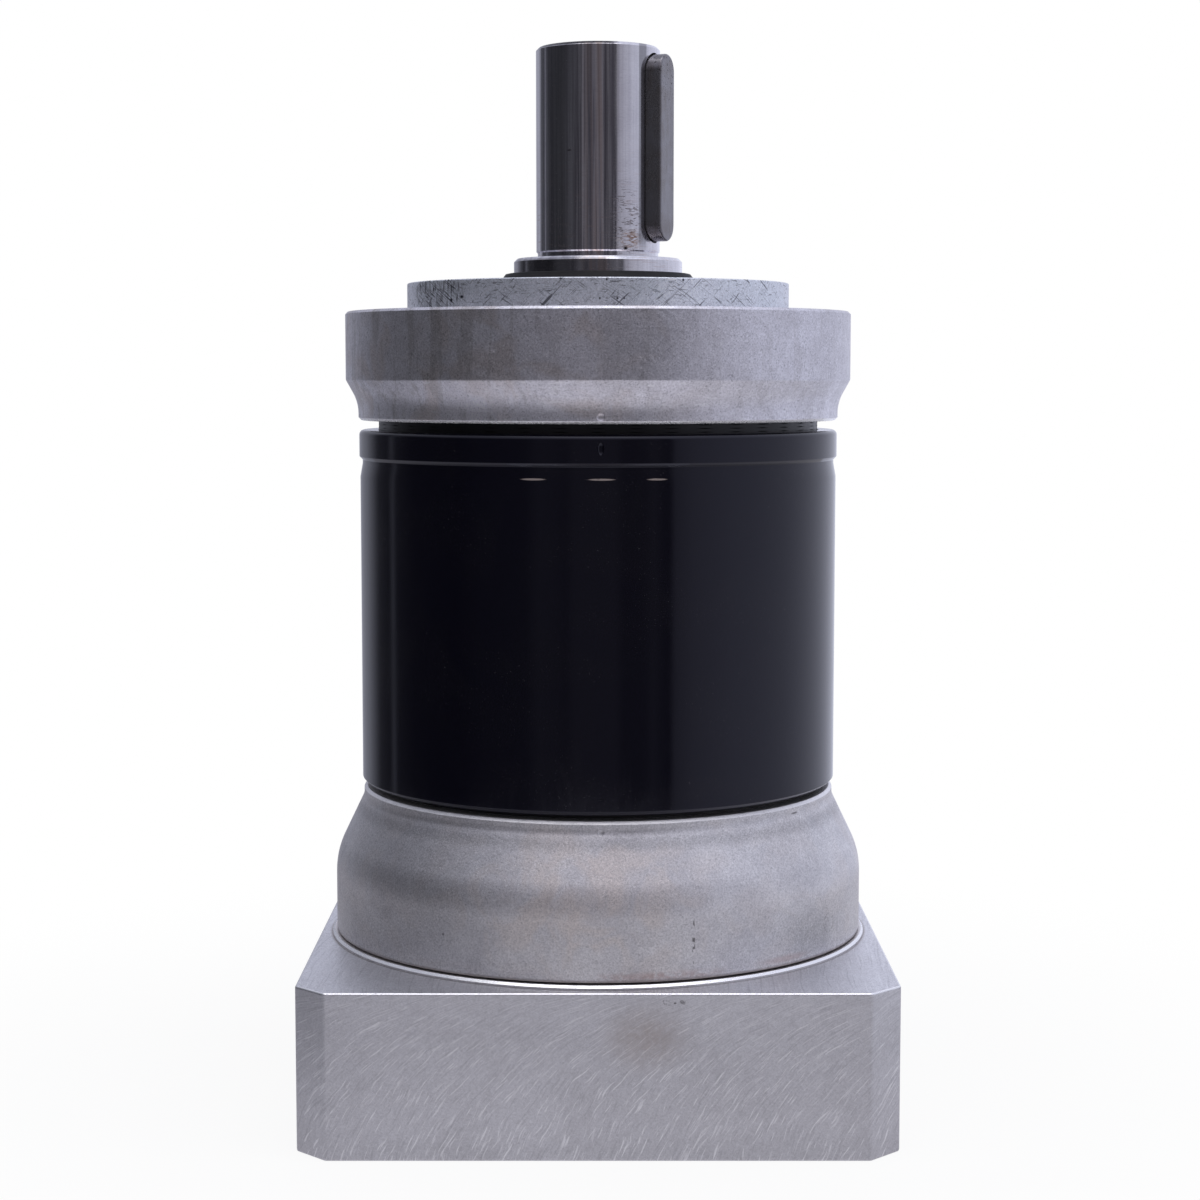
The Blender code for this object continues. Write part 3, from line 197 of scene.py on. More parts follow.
def slanted(spot, z, turn):  # makes what runs up a wall lean; turn in radians a mm
    sockets = {"Vector": spot, "Angle": z * turn}
    return spot.node("ShaderNodeVectorRotate", {"rotation_type": "Z_AXIS"}, sockets)


def onShell(radius, azimuth, height):  # azimuth in degrees from the front towards the right
    turn = math.radians(azimuth)
    return radius * math.sin(turn), -radius * math.cos(turn), height


def emptySheet(owner):
    owner.use_nodes = True
    owner.node_tree.nodes.clear()
    return Signal(owner.node_tree)


def placeParts(spot):  # x, y, z and the distance from the axis
    x, y, z = parts(spot)
    return x, y, z, root(x * x + y * y)


def newFinish(look, recipe):  # a recipe tells relief, colour, metal, roughness and what else it sets
    material = bpy.data.materials.new(look.name)
    spot = scaled(emptySheet(material).node("ShaderNodeTexCoord", take="Object"), 1 / mm)
    height, colour, metal, roughness, *rest = recipe(look, spot)
    bump = spot.node("ShaderNodeBump", {}, {"Strength": 1.0, "Distance": look.relief * mm, "Height": height})
    surface = {"Base Color": colour, "Metallic": metal, "Roughness": roughness, "Normal": bump}
    for sockets in rest:
        surface.update(sockets)
    shader = spot.node("ShaderNodeBsdfPrincipled", {}, surface)
    spot.node("ShaderNodeOutputMaterial", {}, {"Surface": shader})
    return material


def turningLines(spot, fineness):  # rings round Z, on walls and on faces alike
    x, y, z, radius = placeParts(spot)
    rings = joined(spot, x * 0.03, y * 0.03, (z + radius) * fineness)
    return cloud(rings, 1.0, 3)


# Finishes

flangeLook = Named(
    name="turnedFlangeAluminium",
    colour=(0.785, 0.775, 0.835), stain=(0.62, 0.605, 0.645), warm=(0.635, 0.58, 0.57), pilot=(0.77, 0.81, 0.88),
    scratch=(0.10, 0.10, 0.12), streak=(0.44, 0.42, 0.42), nick=(0.95, 0.95, 0.98), dirt=(0.03, 0.03, 0.04),
    roughness=0.36, metal=0.93, pilotMetal=0.77, lineFineness=5.0, relief=0.012, faceHeight=139.6,
    footHeight=120.27, coveHeight=127.6, neckRadius=39.6)


def flangeFinish(look, spot):
    x, y, z, radius = placeParts(spot)
    lines = turningLines(spot, look.lineFineness)
    patches = cloud(spot, 13, 4, 0.6)
    mottle = cloud(spot, 2.2, 3, 1.2, 7)
    grain = cloud(spot, 0.3, 2, 0.5, 1)
    fibres = cloud(spot, 0.6, 2, 2.5, 3)
    bright = between(fibres, 0.57, 0.68)
    dark = between(fibres, 0.43, 0.32)
    stained = between(patches, 0.40, 0.60) * 0.5 + between(mottle, 0.35, 0.7) * 0.35
    warm = between(cloud(spot, 9, 3, 0.7, 12), 0.46, 0.64) * between(x, 25, -5)
    streaks = between(cloud(stretched(spot, 1.0, 0.1), 2.6, 3, 0.9, 15), 0.54, 0.64)
    streaks = streaks * (between(x, 0, -25) * 0.35 + 0.15)
    inCove = between(z, look.coveHeight, look.coveHeight - 0.3)
    dashes = between(cloud(stretched(spot, 0.45, 3.0), 1.0, 2, 0.5, 19), 0.60, 0.70) * inCove
    onPilot = between(z, look.faceHeight - 0.1, look.faceHeight + 0.1) * between(radius, 33.2, 33.6)
    wear = tinted(stained * 0.35, look.pilot, look.colour)
    colour = layered(look.colour, (stained, look.stain), (warm * 0.7, look.warm), (streaks, look.streak),
                     (onPilot, wear))
    # Painted light and shade: the cove lighter left of the middle and near x 21 mm, the pilot lighter near x 13 mm,
    # and the flange and the pilot darker towards the right.
    paintedShading = inCove * (band(x, -23, 14) * 0.24 + band(x, 21, 6) * 0.1 + 0.03) - between(x, 30, 42) * 0.08
    paintedShading = paintedShading + onPilot * (band(x, 13, 9) * 0.12 - between(x, 25, 32) * 0.05)
    colour = scaled(colour, (grain - 0.5) * 0.9 + paintedShading + 1)
    dirt, chip = pilotMarks(spot, z)
    # Painted highlight: a white line along the rounded lower edge of the foot.
    paintedFootHighlight = between(z, look.footHeight + 0.6, look.footHeight + 0.35) * between(radius, 41.0, 41.5)
    # Black on the spigot below the flange's foot, where it shows in the narrow gap above the ring.
    darkInGap = between(z, look.footHeight, look.footHeight - 0.03)
    darkInGap = darkInGap * between(radius, look.neckRadius, look.neckRadius - 0.1)
    colour = layered(colour, (bright * 0.4 + dashes * 0.5, look.nick), (dark * 0.35, look.scratch),
                     (dirt * onPilot, look.dirt), (most(chip, paintedFootHighlight), white), (darkInGap, gapBlack))
    roughness = look.roughness + (mottle - 0.5) * 0.2 + (lines - 0.5) * 0.1 + (grain - 0.5) * 0.15
    roughness = roughness - paintedFootHighlight * 0.1
    metal = (onPilot * (look.pilotMetal - look.metal) + look.metal) * (1 - darkInGap)
    height = lines * 0.6 + bright * 0.4 - dark * 0.4 + grain * 0.6 - dirt * 0.6 + chip * 0.8
    return height, colour, metal, roughness


pilotRadius = 34

pilotNicks = ((0.5, 140.9, 0.2, 0.3), (2.5, 140.9, 0.13, 0.15), (5.4, 140.9, 0.25, 0.3), (7.3, 140.9, 0.2, 0.27),
              (2.4, 144.0, 0.22, 0.3), (-10.5, 144.2, 0.35, 0.2), (-42.5, 141.4, 0.5, 0.4), (-47, 140.9, 0.35, 0.5),
              (24.6, 144.0, 0.25, 0.35))  # azimuth in degrees, then height, width and tallness in mm


def pilotMarks(spot, z):  # dirt, scratches and nicks on the pilot's wall, and a bright chip
    smeared = blot(spot, onShell(pilotRadius, -55, 142.2), (8.5, 9, 3.4), 0.75)
    smears = between(cloud(stretched(spot, 3.2, 0.28), 1.0, 3, 1.1), 0.52, 0.60)
    links = between(cloud(stretched(slanted(spot, z, 0.05), 2.6, 0.5), 1.0, 3, 1.0, 5), 0.56, 0.64)
    marks = smeared * most(smears, links)
    zones = between(cloud(spot, 4, 2, 0.5, 9), 0.38, 0.56)
    for turn, shift in ((0.045, 11), (-0.03, 17)):
        nicks = cloud(stretched(slanted(spot, z, turn), 2.4, 0.3), 1.0, 3, 1.0, shift)
        marks = most(marks, between(nicks, 0.60, 0.67) * zones * 0.8)
    dashes = cloud(stretched(spot, 0.5, 3.2), 1.0, 3, 0.8, 23)
    marks = most(marks, between(dashes, 0.61, 0.68) * 0.6)
    for azimuth, height, width, tall in pilotNicks:
        marks = most(marks, blot(spot, onShell(pilotRadius, azimuth, height), (width, 1.5, tall)))
    chip = blot(spot, onShell(pilotRadius, 21, 144.05), (1.3, 1.2, 0.16), 0.5)
    return marks, chip


bellLook = Named(
    name="satinBellAluminium",
    colour=(0.80, 0.79, 0.80), shade=(0.62, 0.61, 0.63), warm=(0.80, 0.735, 0.69), residue=(0.50, 0.30, 0.25),
    nick=(0.97, 0.96, 0.97), scratch=(0.30, 0.29, 0.31), dirt=(0.10, 0.09, 0.09), foot=(0.22, 0.17, 0.15),
    roughness=0.45, relief=0.012, radius=47.4, shadeRadius=47, topHeight=54.93, creaseHeight=41.0, neckHeight=51.3)


def bellFinish(look, spot):
    x, y, z, radius = placeParts(spot)
    patches = cloud(spot, 15, 4, 0.8)
    mottle = cloud(spot, 2.4, 3, 1.5, 5)
    grain = cloud(spot, 0.3, 2, 0.5, 1)
    fibres = cloud(stretched(spot, 1.0, 1.6), 0.7, 2, 3.0, 9)
    bright = between(fibres, 0.56, 0.68)
    dark = between(fibres, 0.43, 0.32)
    worn = between(patches, 0.38, 0.64) * 0.5 + between(mottle, 0.4, 0.7) * 0.3
    middle = blot(spot, onShell(look.radius, -4, 43), (30, 25, 18), 0.1)
    warm = between(cloud(spot, 8, 3, 0.8, 12), 0.40, 0.62) * (middle * 0.75 + 0.25)
    colour = layered(look.colour, (worn, look.shade), (warm * 0.8, look.warm))
    # Painted shade and light: a darker band at the neck, a lighter crease under the flare, and darker patches on the
    # left and the lower right walls.
    shade = band(z, look.neckHeight, 1.7) * 0.2 - band(z, look.creaseHeight, 3.4) * 0.1
    for azimuth, height, spread, depth in ((-40, 42, (19, 22, 18), 0.2), (-58, 32, (14, 30, 9), 0.2),
                                           (50, 33, (14, 14, 7), 0.25)):
        shade = shade + blot(spot, onShell(look.shadeRadius, azimuth, height), spread, 0.0) * depth
    colour = scaled(colour, (grain - 0.5) * 0.9 - shade + 1)
    # Painted highlight: a bright line in the nick colour along the top edge.
    paintedTopEdgeHighlight = between(z, 54.3, 54.5) * between(radius, 41.0, 41.3)
    residue = blot(spot, onShell(look.radius, 13, 30.0), (19, 9, 1.2), 0.0) * between(mottle, 0.30, 0.60)
    residue = most(residue, blot(spot, onShell(look.radius, 42, 30.3), (9, 8, 1.0), 0.1) * 0.7)
    dirt = blot(spot, onShell(look.radius, 19.4, 35.4), (0.3, 2, 5.2), 0.5)
    dirt = dirt * between(cloud(spot, 1.1, 2, 0, 4), 0.47, 0.55)
    away = lengthOf(vectorSum("SUBTRACT", spot, onShell(look.radius, 57, 34.4)))
    ring = band(away, 1.65, 0.14, 0.3) * between(mottle, 0.45, 0.55)
    hair = blot(spot, onShell(look.radius - 5, 52.7, 53.4), (0.9, 2, 0.22), 0.4)
    speck = blot(spot, onShell(look.radius, -33, 35.5), (0.3, 1, 0.3), 0.4)
    marks = most(most(dirt * 0.8, ring * 0.3), (hair + speck) * 0.7)
    # Black on the spigot above the bell's top, where it shows in the narrow gap below the ring.
    darkInGap = between(z, look.topHeight, look.topHeight + 0.03) * between(radius, 39.6, 39.5)
    # Painted shadow: a dark brown band at the bell's foot, just above the seat.
    colour = layered(colour, (most(bright * 0.4, paintedTopEdgeHighlight), look.nick), (dark * 0.3, look.scratch),
                     (residue * 0.45, look.residue), (marks, look.dirt), (between(z, 29.7, 29.2) * 0.6, look.foot),
                     (darkInGap, gapBlack))
    roughness = look.roughness + (mottle - 0.5) * 0.15 + (patches - 0.5) * 0.1 + (grain - 0.5) * 0.12
    height = bright * 0.5 - dark * 0.5 + fibres * 0.5 + grain * 0.6
    return height, colour, 1 - darkInGap, roughness


plateLook = Named(
    name="sandedAdapterAluminium",
    colour=(0.70, 0.70, 0.725), shade=(0.60, 0.595, 0.615), stroke=(0.99, 0.99, 1.0), stain=(0.47, 0.40, 0.35),
    groove=(0.36, 0.36, 0.38), dent=(0.12, 0.11, 0.11), seatTop=(0.95, 0.94, 0.95), seatFoot=(0.50, 0.42, 0.38),
    seatDirt=(0.24, 0.19, 0.16), roughness=0.44, relief=0.010, strokeWidth=0.36, strokeLength=4.4, arcRadius=43.7,
    arcCentre=-14.9, seatRadius=48.2, seatHeight=28.3)


def sandingStrokes(across, up, shift):  # short pieces of one arc that repeats along the plate
    look = plateLook
    rise = (up - look.arcCentre) / look.arcRadius
    lean = across + root(1 - rise * rise) * look.arcRadius
    along = rise.sum("ARCSINE", rise) * look.arcRadius
    drift = cloud(joined(up, across, up, shift), 10, 2) * 4
    field = joined(up, (lean + drift) / look.strokeWidth, along / look.strokeLength, shift)
    return cloud(field, 1.0, 2, 0.1, shift)


def plateFinish(look, spot):
    x, y, z, radius = placeParts(spot)
    nx, _, nz = parts(spot.node("ShaderNodeTexCoord", take="Normal"))
    onSide, onFlat = between(absolute(nx), 0.75, 0.85), between(absolute(nz), 0.75, 0.85)
    across = x * (1 - onSide) + y * onSide
    up = z * (1 - onFlat) + y * onFlat * 0.3
    first = sandingStrokes(across, up, 3.1)
    second = sandingStrokes(across, up, 8.7)
    zones = cloud(spot, 8, 2, 0.5, 6)
    strokes = between(first, 0.58, 0.68) * between(zones, 0.30, 0.56)
    strokes = most(strokes, between(second, 0.60, 0.70) * between(zones, 0.66, 0.42))
    strokes = strokes * (1 - onFlat * 0.4)
    grooves = between(second, 0.43, 0.33)
    patches = cloud(spot, 20, 3, 0.5)
    mottle = cloud(spot, 1.6, 3, 1.0, 4)
    grain = cloud(spot, 0.28, 2, 1.0, 2)
    worn = between(patches, 0.35, 0.65) * 0.4 + between(mottle, 0.35, 0.7) * 0.35
    # Painted light and shade: the top face lighter, more so on the left, the sides lighter near the top, and all
    # faces darker towards the bottom.
    paintedShading = onFlat * (between(x, 0, -30) * 0.06 + 0.13) - between(z, 6, 0.5) * 0.09
    paintedShading = paintedShading + between(z, 20, 27) * (1 - onFlat) * 0.07
    colour = scaled(tinted(worn, look.colour, look.shade), (grain - 0.5) * (onFlat * 0.6 + 0.6) + paintedShading + 1)
    stain = blot(spot, (7.8, -50, 20.8), (9.5, 6, 7.5), 0.0)
    dents = blot(spot, (12.2, -50, 26.6), (3.2, 2, 0.7), 0.3) * between(cloud(spot, 0.7, 2), 0.53, 0.6)
    onSeat = between(z, look.seatHeight, look.seatHeight + 0.1) * between(radius, 33.0, 33.4)
    # A brown ring on the top face close round the foot of the seat.
    besideSeat = between(radius, look.seatRadius + 0.6, look.seatRadius) * onFlat * (1 - onSeat)
    # Painted highlight: white on the slanted edge faces.
    paintedEdgeHighlight = between(nz, 0.25, 0.45) * between(nz, 0.97, 0.88)
    # The seat's wall is white at the top as a painted highlight of its chamfer, and brownish lower down.
    colour = layered(colour, (strokes * 0.6, look.stroke), (grooves * 0.25, look.groove),
                     (stain * (between(mottle, 0.2, 0.6) * 0.25 + 0.25), look.stain), (dents * 0.8, look.dent),
                     (onSeat, tinted(between(z, 28.9, 28.6), look.seatTop, look.seatFoot)),
                     (besideSeat * between(z, 27, 28) * 0.6, look.seatDirt), (paintedEdgeHighlight, white))
    roughness = look.roughness + (grain - 0.5) * 0.2 - strokes * 0.08 + stain * 0.05 - paintedEdgeHighlight * 0.2
    height = strokes * 0.6 - grooves * 0.4 + grain * 0.5 - dents * 1.5
    return height, colour, 1.0, roughness


coatingLook = Named(
    name="glossBlackCoating",
    colour=(0.0018, 0.0016, 0.0042), dust=(0.10, 0.095, 0.10), film=(0.005, 0.0045, 0.006),
    scuff=(0.36, 0.30, 0.27), roughness=0.07, gloss=0.5, reflection=(0.84, 0.85, 1.0), relief=0.004, radius=42.55,
    scuffHeight=111.3)


def coatingFinish(look, spot):
    peel = cloud(spot, 1.6, 2, 0.3)
    film = cloud(spot, 16, 4, 0.8, 4)
    wisps = cloud(stretched(spot, 1.0, 0.25), 3.0, 4, 1.0, 14)
    dust = between(cloud(spot, 0.25, 1, 0, 2), 0.72, 0.77) * between(film, 0.40, 0.65)
    # Painted highlights: three short brownish-grey glints just below the groove, at the front and to either side,
    # also rougher and raised.
    left, middle, right = (blot(spot, onShell(look.radius, azimuth, look.scuffHeight), (width, 1.6, 0.20), 0.6)
                           for azimuth, width in ((-14.6, 2.6), (0.8, 2.6), (13.2, 2.0)))
    paintedGlints = most(most(left, middle), right)
    paintedGlints = paintedGlints * between(cloud(stretched(spot, 0.6, 1), 0.9, 2, 0, 6), 0.25, 0.45)
    colour = layered(look.colour, (dust * 0.35, look.dust), (between(film, 0.4, 0.7) * 0.25, look.film),
                     (paintedGlints * 0.6, look.scuff))
    roughness = look.roughness + between(film, 0.35, 0.75) * 0.05 + between(wisps, 0.5, 0.7) * 0.04
    roughness = roughness + dust * 0.2 + paintedGlints * 0.25
    more = {"Specular IOR Level": look.gloss, "Specular Tint": look.reflection}
    return peel * 0.6 + dust * 0.4 + paintedGlints * 0.6, colour, 0.0, roughness, more


shaftLook = Named(
    name="groundShaftSteel",
    colour=(0.84, 0.83, 0.87), dull=(0.44, 0.42, 0.47), brown=(0.62, 0.50, 0.46), rust=(0.16, 0.07, 0.035),
    darkStreak=(0.28, 0.26, 0.30), lightStreak=(1.0, 0.97, 1.0), nick=(0.16, 0.13, 0.12), dirt=(0.02, 0.015, 0.015),
    roughness=0.10, relief=0.004, radius=11.0, shoulderHeight=149.0, endHeight=185.3)


def shaftFinish(look, spot):
    x, y, z, radius = placeParts(spot)
    lines = turningLines(spot, 7.0)
    broad = cloud(stretched(spot, 1.0, 0.02), 1.5, 3, 0.2)
    streaks = cloud(stretched(spot, 1.0, 0.012), 0.42, 3, 0.1, 6)
    film = cloud(spot, 9, 3, 0.6, 3)
    grain = cloud(stretched(spot, 0.35, 1.6), 0.3, 3, 0.5, 9)
    low = between(z, 176, 152)
    nicked = blot(spot, onShell(look.radius, 28, 155), (5.0, 3, 9), 0.3)
    nicks = nicked * between(cloud(stretched(spot, 0.5, 2.6), 0.9, 3, 1.6, 5), 0.55, 0.61)
    scratches = between(cloud(stretched(spot, 0.18, 3.6), 0.8, 3, 0.4, 12), 0.57, 0.66) * low
    rusted = blot(spot, onShell(look.radius, 31, 151.8), (3.6, 2.5, 2.4), 0.2)
    rust = rusted * between(cloud(stretched(spot, 0.45, 2.6), 0.7, 3, 1.0, 8), 0.48, 0.56)
    spotMark = blot(spot, onShell(look.radius, 26, 150.3), (0.55, 0.8, 0.4))
    chip = blot(spot, onShell(look.radius, -27, 167.2), (0.5, 0.8, 0.16))
    # Painted shade: the dull tone is stronger left of x 3.4 mm, the edge of the bright band, over the random dull
    # patches.
    worn = between(broad, 0.36, 0.64) * (between(x, 3.6, 3.2) * 0.5 + 0.15) + between(film, 0.4, 0.7) * 0.2
    # Painted reflection: vertical dark and light streaks, faint everywhere and stronger on the front left of x 3.4
    # mm, above the shoulder.
    paintedStreakZone = between(x, 3.6, 3.2) * between(z, 149, 149.5) * (between(x, -4.6, -3.2) * 0.75 + 0.25)
    streaked = paintedStreakZone * 0.55 + 0.1
    # Painted reflection: a reddish-brown strip down the front middle, x -1 to 1.2 mm; the same brown also tints the
    # low scratches.
    paintedBrownReflection = between(broad, 0.58, 0.46) * between(x, 2.2, 1.2) * between(x, -3.5, -1.0)
    colour = layered(look.colour, (worn, look.dull), (between(streaks, 0.50, 0.58) * streaked, look.darkStreak),
                     (between(streaks, 0.48, 0.38) * streaked, look.lightStreak), (paintedBrownReflection * 0.6, look.brown))
    colour = layered(scaled(colour, (grain - 0.5) * 0.25 + 1), (scratches * 0.35, look.brown),
                     (nicks * 0.75, look.nick), (rust * 0.85, look.rust), (most(spotMark, chip), look.dirt))
    onCollar = between(z, look.shoulderHeight, look.shoulderHeight - 0.2) * between(radius, 14.6, 14.8)
    onEnd = between(z, look.endHeight, look.endHeight + 0.1) * between(x, 4, 2) * between(radius, 10.4, 10.5)
    # Painted shade: the collar darker left of its middle, and a painted shadow of the key on the shaft beside it. The
    # end chamfer is darker left of x 2 mm.
    paintedKeyShadow = between(x, 7.0, 7.25) * between(x, 8.6, 8.3) * between(z, 149.5, 152.5)
    colour = scaled(colour, 1 - onCollar * between(x, 1.5, 1.2) * 0.45 - onEnd * 0.85 - paintedKeyShadow * 0.5)
    roughness = look.roughness + (broad - 0.5) * 0.06 + between(film, 0.4, 0.8) * 0.05
    roughness = roughness + nicks * 0.2 + rust * 0.45 + scratches * 0.1
    height = lines * 0.4 + grain * 0.2 - nicks * 1.3 - scratches * 0.3 + rust * 0.8
    return height, colour, 1 - rust * 0.8, roughness


speckColour = (0.03, 0.025, 0.025)

steelLooks = {
    "key": Named(
        name="brightKeySteel", colour=(0.25, 0.245, 0.265), shade=(0.19, 0.175, 0.175), roughness=0.26,
        grain=(0.5, 0.5, 0.08), size=0.4, relief=0.007, specksFrom=172.0, metal=0.88),
    "gear": Named(
        name="hardenedGearSteel", colour=(0.42, 0.42, 0.43), shade=(0.28, 0.275, 0.28), roughness=0.30,
        grain=(1, 1, 0.1), size=0.4, relief=0.005),
    "bearing": Named(
        name="polishedBearingSteel", colour=(0.62, 0.62, 0.64), shade=(0.52, 0.52, 0.54), roughness=0.16,
        grain=(0.1, 0.1, 2), size=0.4, relief=0.002),
    "spring": Named(
        name="phosphatedSpringSteel", colour=(0.06, 0.06, 0.065), shade=(0.035, 0.035, 0.04), roughness=0.45,
        grain=(1, 1, 1), size=0.5, relief=0.004),
    "screw": Named(
        name="blackenedScrewSteel", colour=(0.035, 0.035, 0.04), shade=(0.018, 0.018, 0.02), roughness=0.40,
        grain=(1, 1, 1), size=0.7, relief=0.004),
    "pin": Named(
        name="groundPinSteel", colour=(0.48, 0.48, 0.50), shade=(0.36, 0.36, 0.38), roughness=0.22,
        grain=(0.1, 0.1, 2), size=0.4, relief=0.003),
}


def steelFinish(look, spot):  # steels of the smaller and hidden pieces
    grain = cloud(vectorSum("MULTIPLY", spot, look.grain), look.size, 3, 0.3)
    film = cloud(spot, 4, 3, 0.8, 2)
    specksFrom = look.get("specksFrom", 0.0)
    specks = between(cloud(spot, 0.5, 3, 1.0, 4), 0.60, 0.66)
    specks = specks * between(parts(spot)[2], specksFrom, specksFrom + 8)
    worn = between(film, 0.35, 0.7) * 0.6 + between(grain, 0.4, 0.7) * 0.4
    colour = layered(look.colour, (worn, look.shade), (specks * 0.7, speckColour))
    roughness = look.roughness + (grain - 0.5) * 0.12 + (film - 0.5) * 0.1 + specks * 0.2
    return grain - specks, colour, look.get("metal", 1.0), roughness


rubberLook = Named(
    name="mouldedSealRubber", colour=(0.004, 0.004, 0.005), bloom=(0.016, 0.015, 0.015), roughness=0.55,
    gloss=0.25, relief=0.01)


def rubberFinish(look, spot):
    grain = cloud(spot, 0.35, 2, 0.5)
    bloom = cloud(spot, 5, 3, 0.8, 3)
    colour = tinted(between(bloom, 0.45, 0.7) * 0.6, look.colour, look.bloom)
    roughness = look.roughness + (grain - 0.5) * 0.2 + (bloom - 0.5) * 0.15
    more = {"Specular IOR Level": look.gloss}
    return grain, colour, 0.0, roughness, more


finishes = {
    "flange": newFinish(flangeLook, flangeFinish),
    "bell": newFinish(bellLook, bellFinish),
    "plate": newFinish(plateLook, plateFinish),
    "coating": newFinish(coatingLook, coatingFinish),
    "shaft": newFinish(shaftLook, shaftFinish),
    "rubber": newFinish(rubberLook, rubberFinish),
    **{piece: newFinish(look, steelFinish) for piece, look in steelLooks.items()},
}
print("finishes mixed")


# Meshes

def placed(name, data):  # a new object in the scene
    item = bpy.data.objects.new(name, data)
    bpy.context.scene.collection.objects.link(item)
    return item


def bakedMesh(item):  # what an object's modifiers make of it; the object goes
    bpy.context.view_layer.update()
    graph = bpy.context.evaluated_depsgraph_get()
    mesh = bpy.data.meshes.new_from_object(
        item.evaluated_get(graph), preserve_all_data_layers=True, depsgraph=graph)
    bpy.data.objects.remove(item)
    return mesh


def around(count, first=0.0):
    return [first + 2 * math.pi * index / count for index in range(count)]


def polar(radius, angle):
    return radius * math.cos(angle), radius * math.sin(angle)


def arc(centre, radius, start, end, count=8):
    points = []
    for index in range(count + 1):
        x, y = polar(radius, math.radians(start + (end - start) * index / count))
        points.append((centre[0] + x, centre[1] + y))
    return points


def steps(radius, height, *changes):  # a stepped profile: from its first corner, radius and height change in turn
    points = [(radius, height)]
    for index, value in enumerate(changes):
        radius, height = (radius, value) if index % 2 else (value, height)
        points.append((radius, height))
    return points


def softened(points, soft):  # every corner of a profile gets a small round of radius soft
    result = []
    closed = points[0][0] > 0
    for index, point in enumerate(points):
        here = Vector(point)
        before = Vector(points[index - 1]) - here
        after = Vector(points[(index + 1) % len(points)]) - here
        end = not closed and index in (0, len(points) - 1)
        turn = 0 if end else math.pi - before.angle(after)
        if turn < math.radians(flatCorner):
            result.append(point)
            continue
        half = (math.pi - turn) / 2
        reach = min(soft / math.tan(half), 0.4 * before.length, 0.4 * after.length)
        radius = reach * math.tan(half)
        middle = here + (before.normalized() + after.normalized()).normalized() * radius / math.sin(half)
        start = here + before.normalized() * reach - middle
        finish = here + after.normalized() * reach - middle
        first = math.degrees(math.atan2(start.y, start.x))
        swing = math.degrees(math.atan2(finish.y, finish.x)) - first
        swing = (swing + 180) % 360 - 180
        result += arc(middle, radius, first, first + swing, max(2, round(math.degrees(turn) / roundStep)))
    return result


def editedMesh(name, operation):
    work = bmesh.new()
    operation(work)
    mesh = bpy.data.meshes.new(name)
    work.to_mesh(mesh)
    work.free()
    return mesh


def lathe(profile, segments=shellSegments):  # a profile of radius and height in mm, turned about Z
    count = len(profile) if profile[0][0] > 0 else len(profile) - 1

    def turn(work):
        rows = [[work.verts.new((*polar(radius * mm, angle), height * mm)) for radius, height in profile]
                for angle in around(segments)]
        for row, nextRow in zip(rows, rows[1:] + rows[:1]):
            for step in range(count):
                following = (step + 1) % len(profile)
                work.faces.new((row[step], row[following], nextRow[following], nextRow[step]))
        bmesh.ops.remove_doubles(work, verts=work.verts, dist=1e-8)
        bmesh.ops.recalc_face_normals(work, faces=work.faces)

    return editedMesh("turned", turn)


def rounded(profile, soft, segments=shellSegments):
    return lathe(softened(profile, soft), segments)


def prism(outline, bottom, top):  # a flat outline in mm with a height
    def extrude(work):
        lower, upper = ([work.verts.new((x * mm, y * mm, height * mm)) for x, y in outline]
                        for height in (bottom, top))
        work.faces.new(lower[::-1])
        work.faces.new(upper)
        for index in range(len(outline)):
            following = (index + 1) % len(outline)
            work.faces.new((lower[index], lower[following], upper[following], upper[index]))
        bmesh.ops.recalc_face_normals(work, faces=work.faces)

    return editedMesh("prism", extrude)


def block(low, high):
    outline = [(low[0], low[1]), (high[0], low[1]), (high[0], high[1]), (low[0], high[1])]
    return prism(outline, low[2], high[2])


def pin(radius, bottom, top, segments=smallSegments):
    return lathe(steps(0, top, radius, bottom, 0), segments)


def moved(mesh, matrix):
    mesh.transform(matrix)
    return mesh


def shifted(x, y, z):
    return Matrix.Translation((x * mm, y * mm, z * mm))


def gathered(meshes):  # several meshes as one
    def gather(work):
        for mesh in meshes:
            work.from_mesh(mesh)

    return editedMesh("gathered", gather)


def ringOf(mesh, radius, angles):  # copies of a mesh on a circle, each turned to its angle
    copies = []
    for angle in angles:
        turn = Matrix.Rotation(angle, 4, "Z")
        copies.append(moved(mesh.copy(), turn @ shifted(radius, 0, 0)))
    return gathered(copies)


def cut(mesh, *removed, added=()):  # the added meshes join it before the removed ones cut it
    item = placed("work", mesh)
    tools = [placed("tool", other) for other in (*added, *removed)]
    for index, tool in enumerate(tools):
        modifier = item.modifiers.new("Cut", "BOOLEAN")
        modifier.operation = "UNION" if index < len(added) else "DIFFERENCE"
        modifier.solver = "EXACT"
        modifier.object = tool
    result = bakedMesh(item)
    for tool in tools:
        bpy.data.objects.remove(tool)
    return result


def bevelled(mesh, width, limit=30):
    item = placed("work", mesh)
    bevel = item.modifiers.new("Edges", "BEVEL")
    bevel.width = width * mm
    bevel.segments = 3
    bevel.limit_method = "ANGLE"
    bevel.angle_limit = math.radians(limit)
    return bakedMesh(item)


markTurn = 0.6  # degrees that the match marks lie right of the front


def punchMark(radius, height, width, tall, depth=0.35):  # the hollow of a match mark at the front
    def dome(work):
        scale = Matrix.Diagonal((width / 2 * mm, depth * mm, tall / 2 * mm, 1))
        bmesh.ops.create_icosphere(work, subdivisions=3, radius=1, matrix=scale)

    turn = Matrix.Rotation(math.radians(markTurn), 4, "Z")
    return moved(editedMesh("mark", dome), turn @ shifted(0, -radius, height))


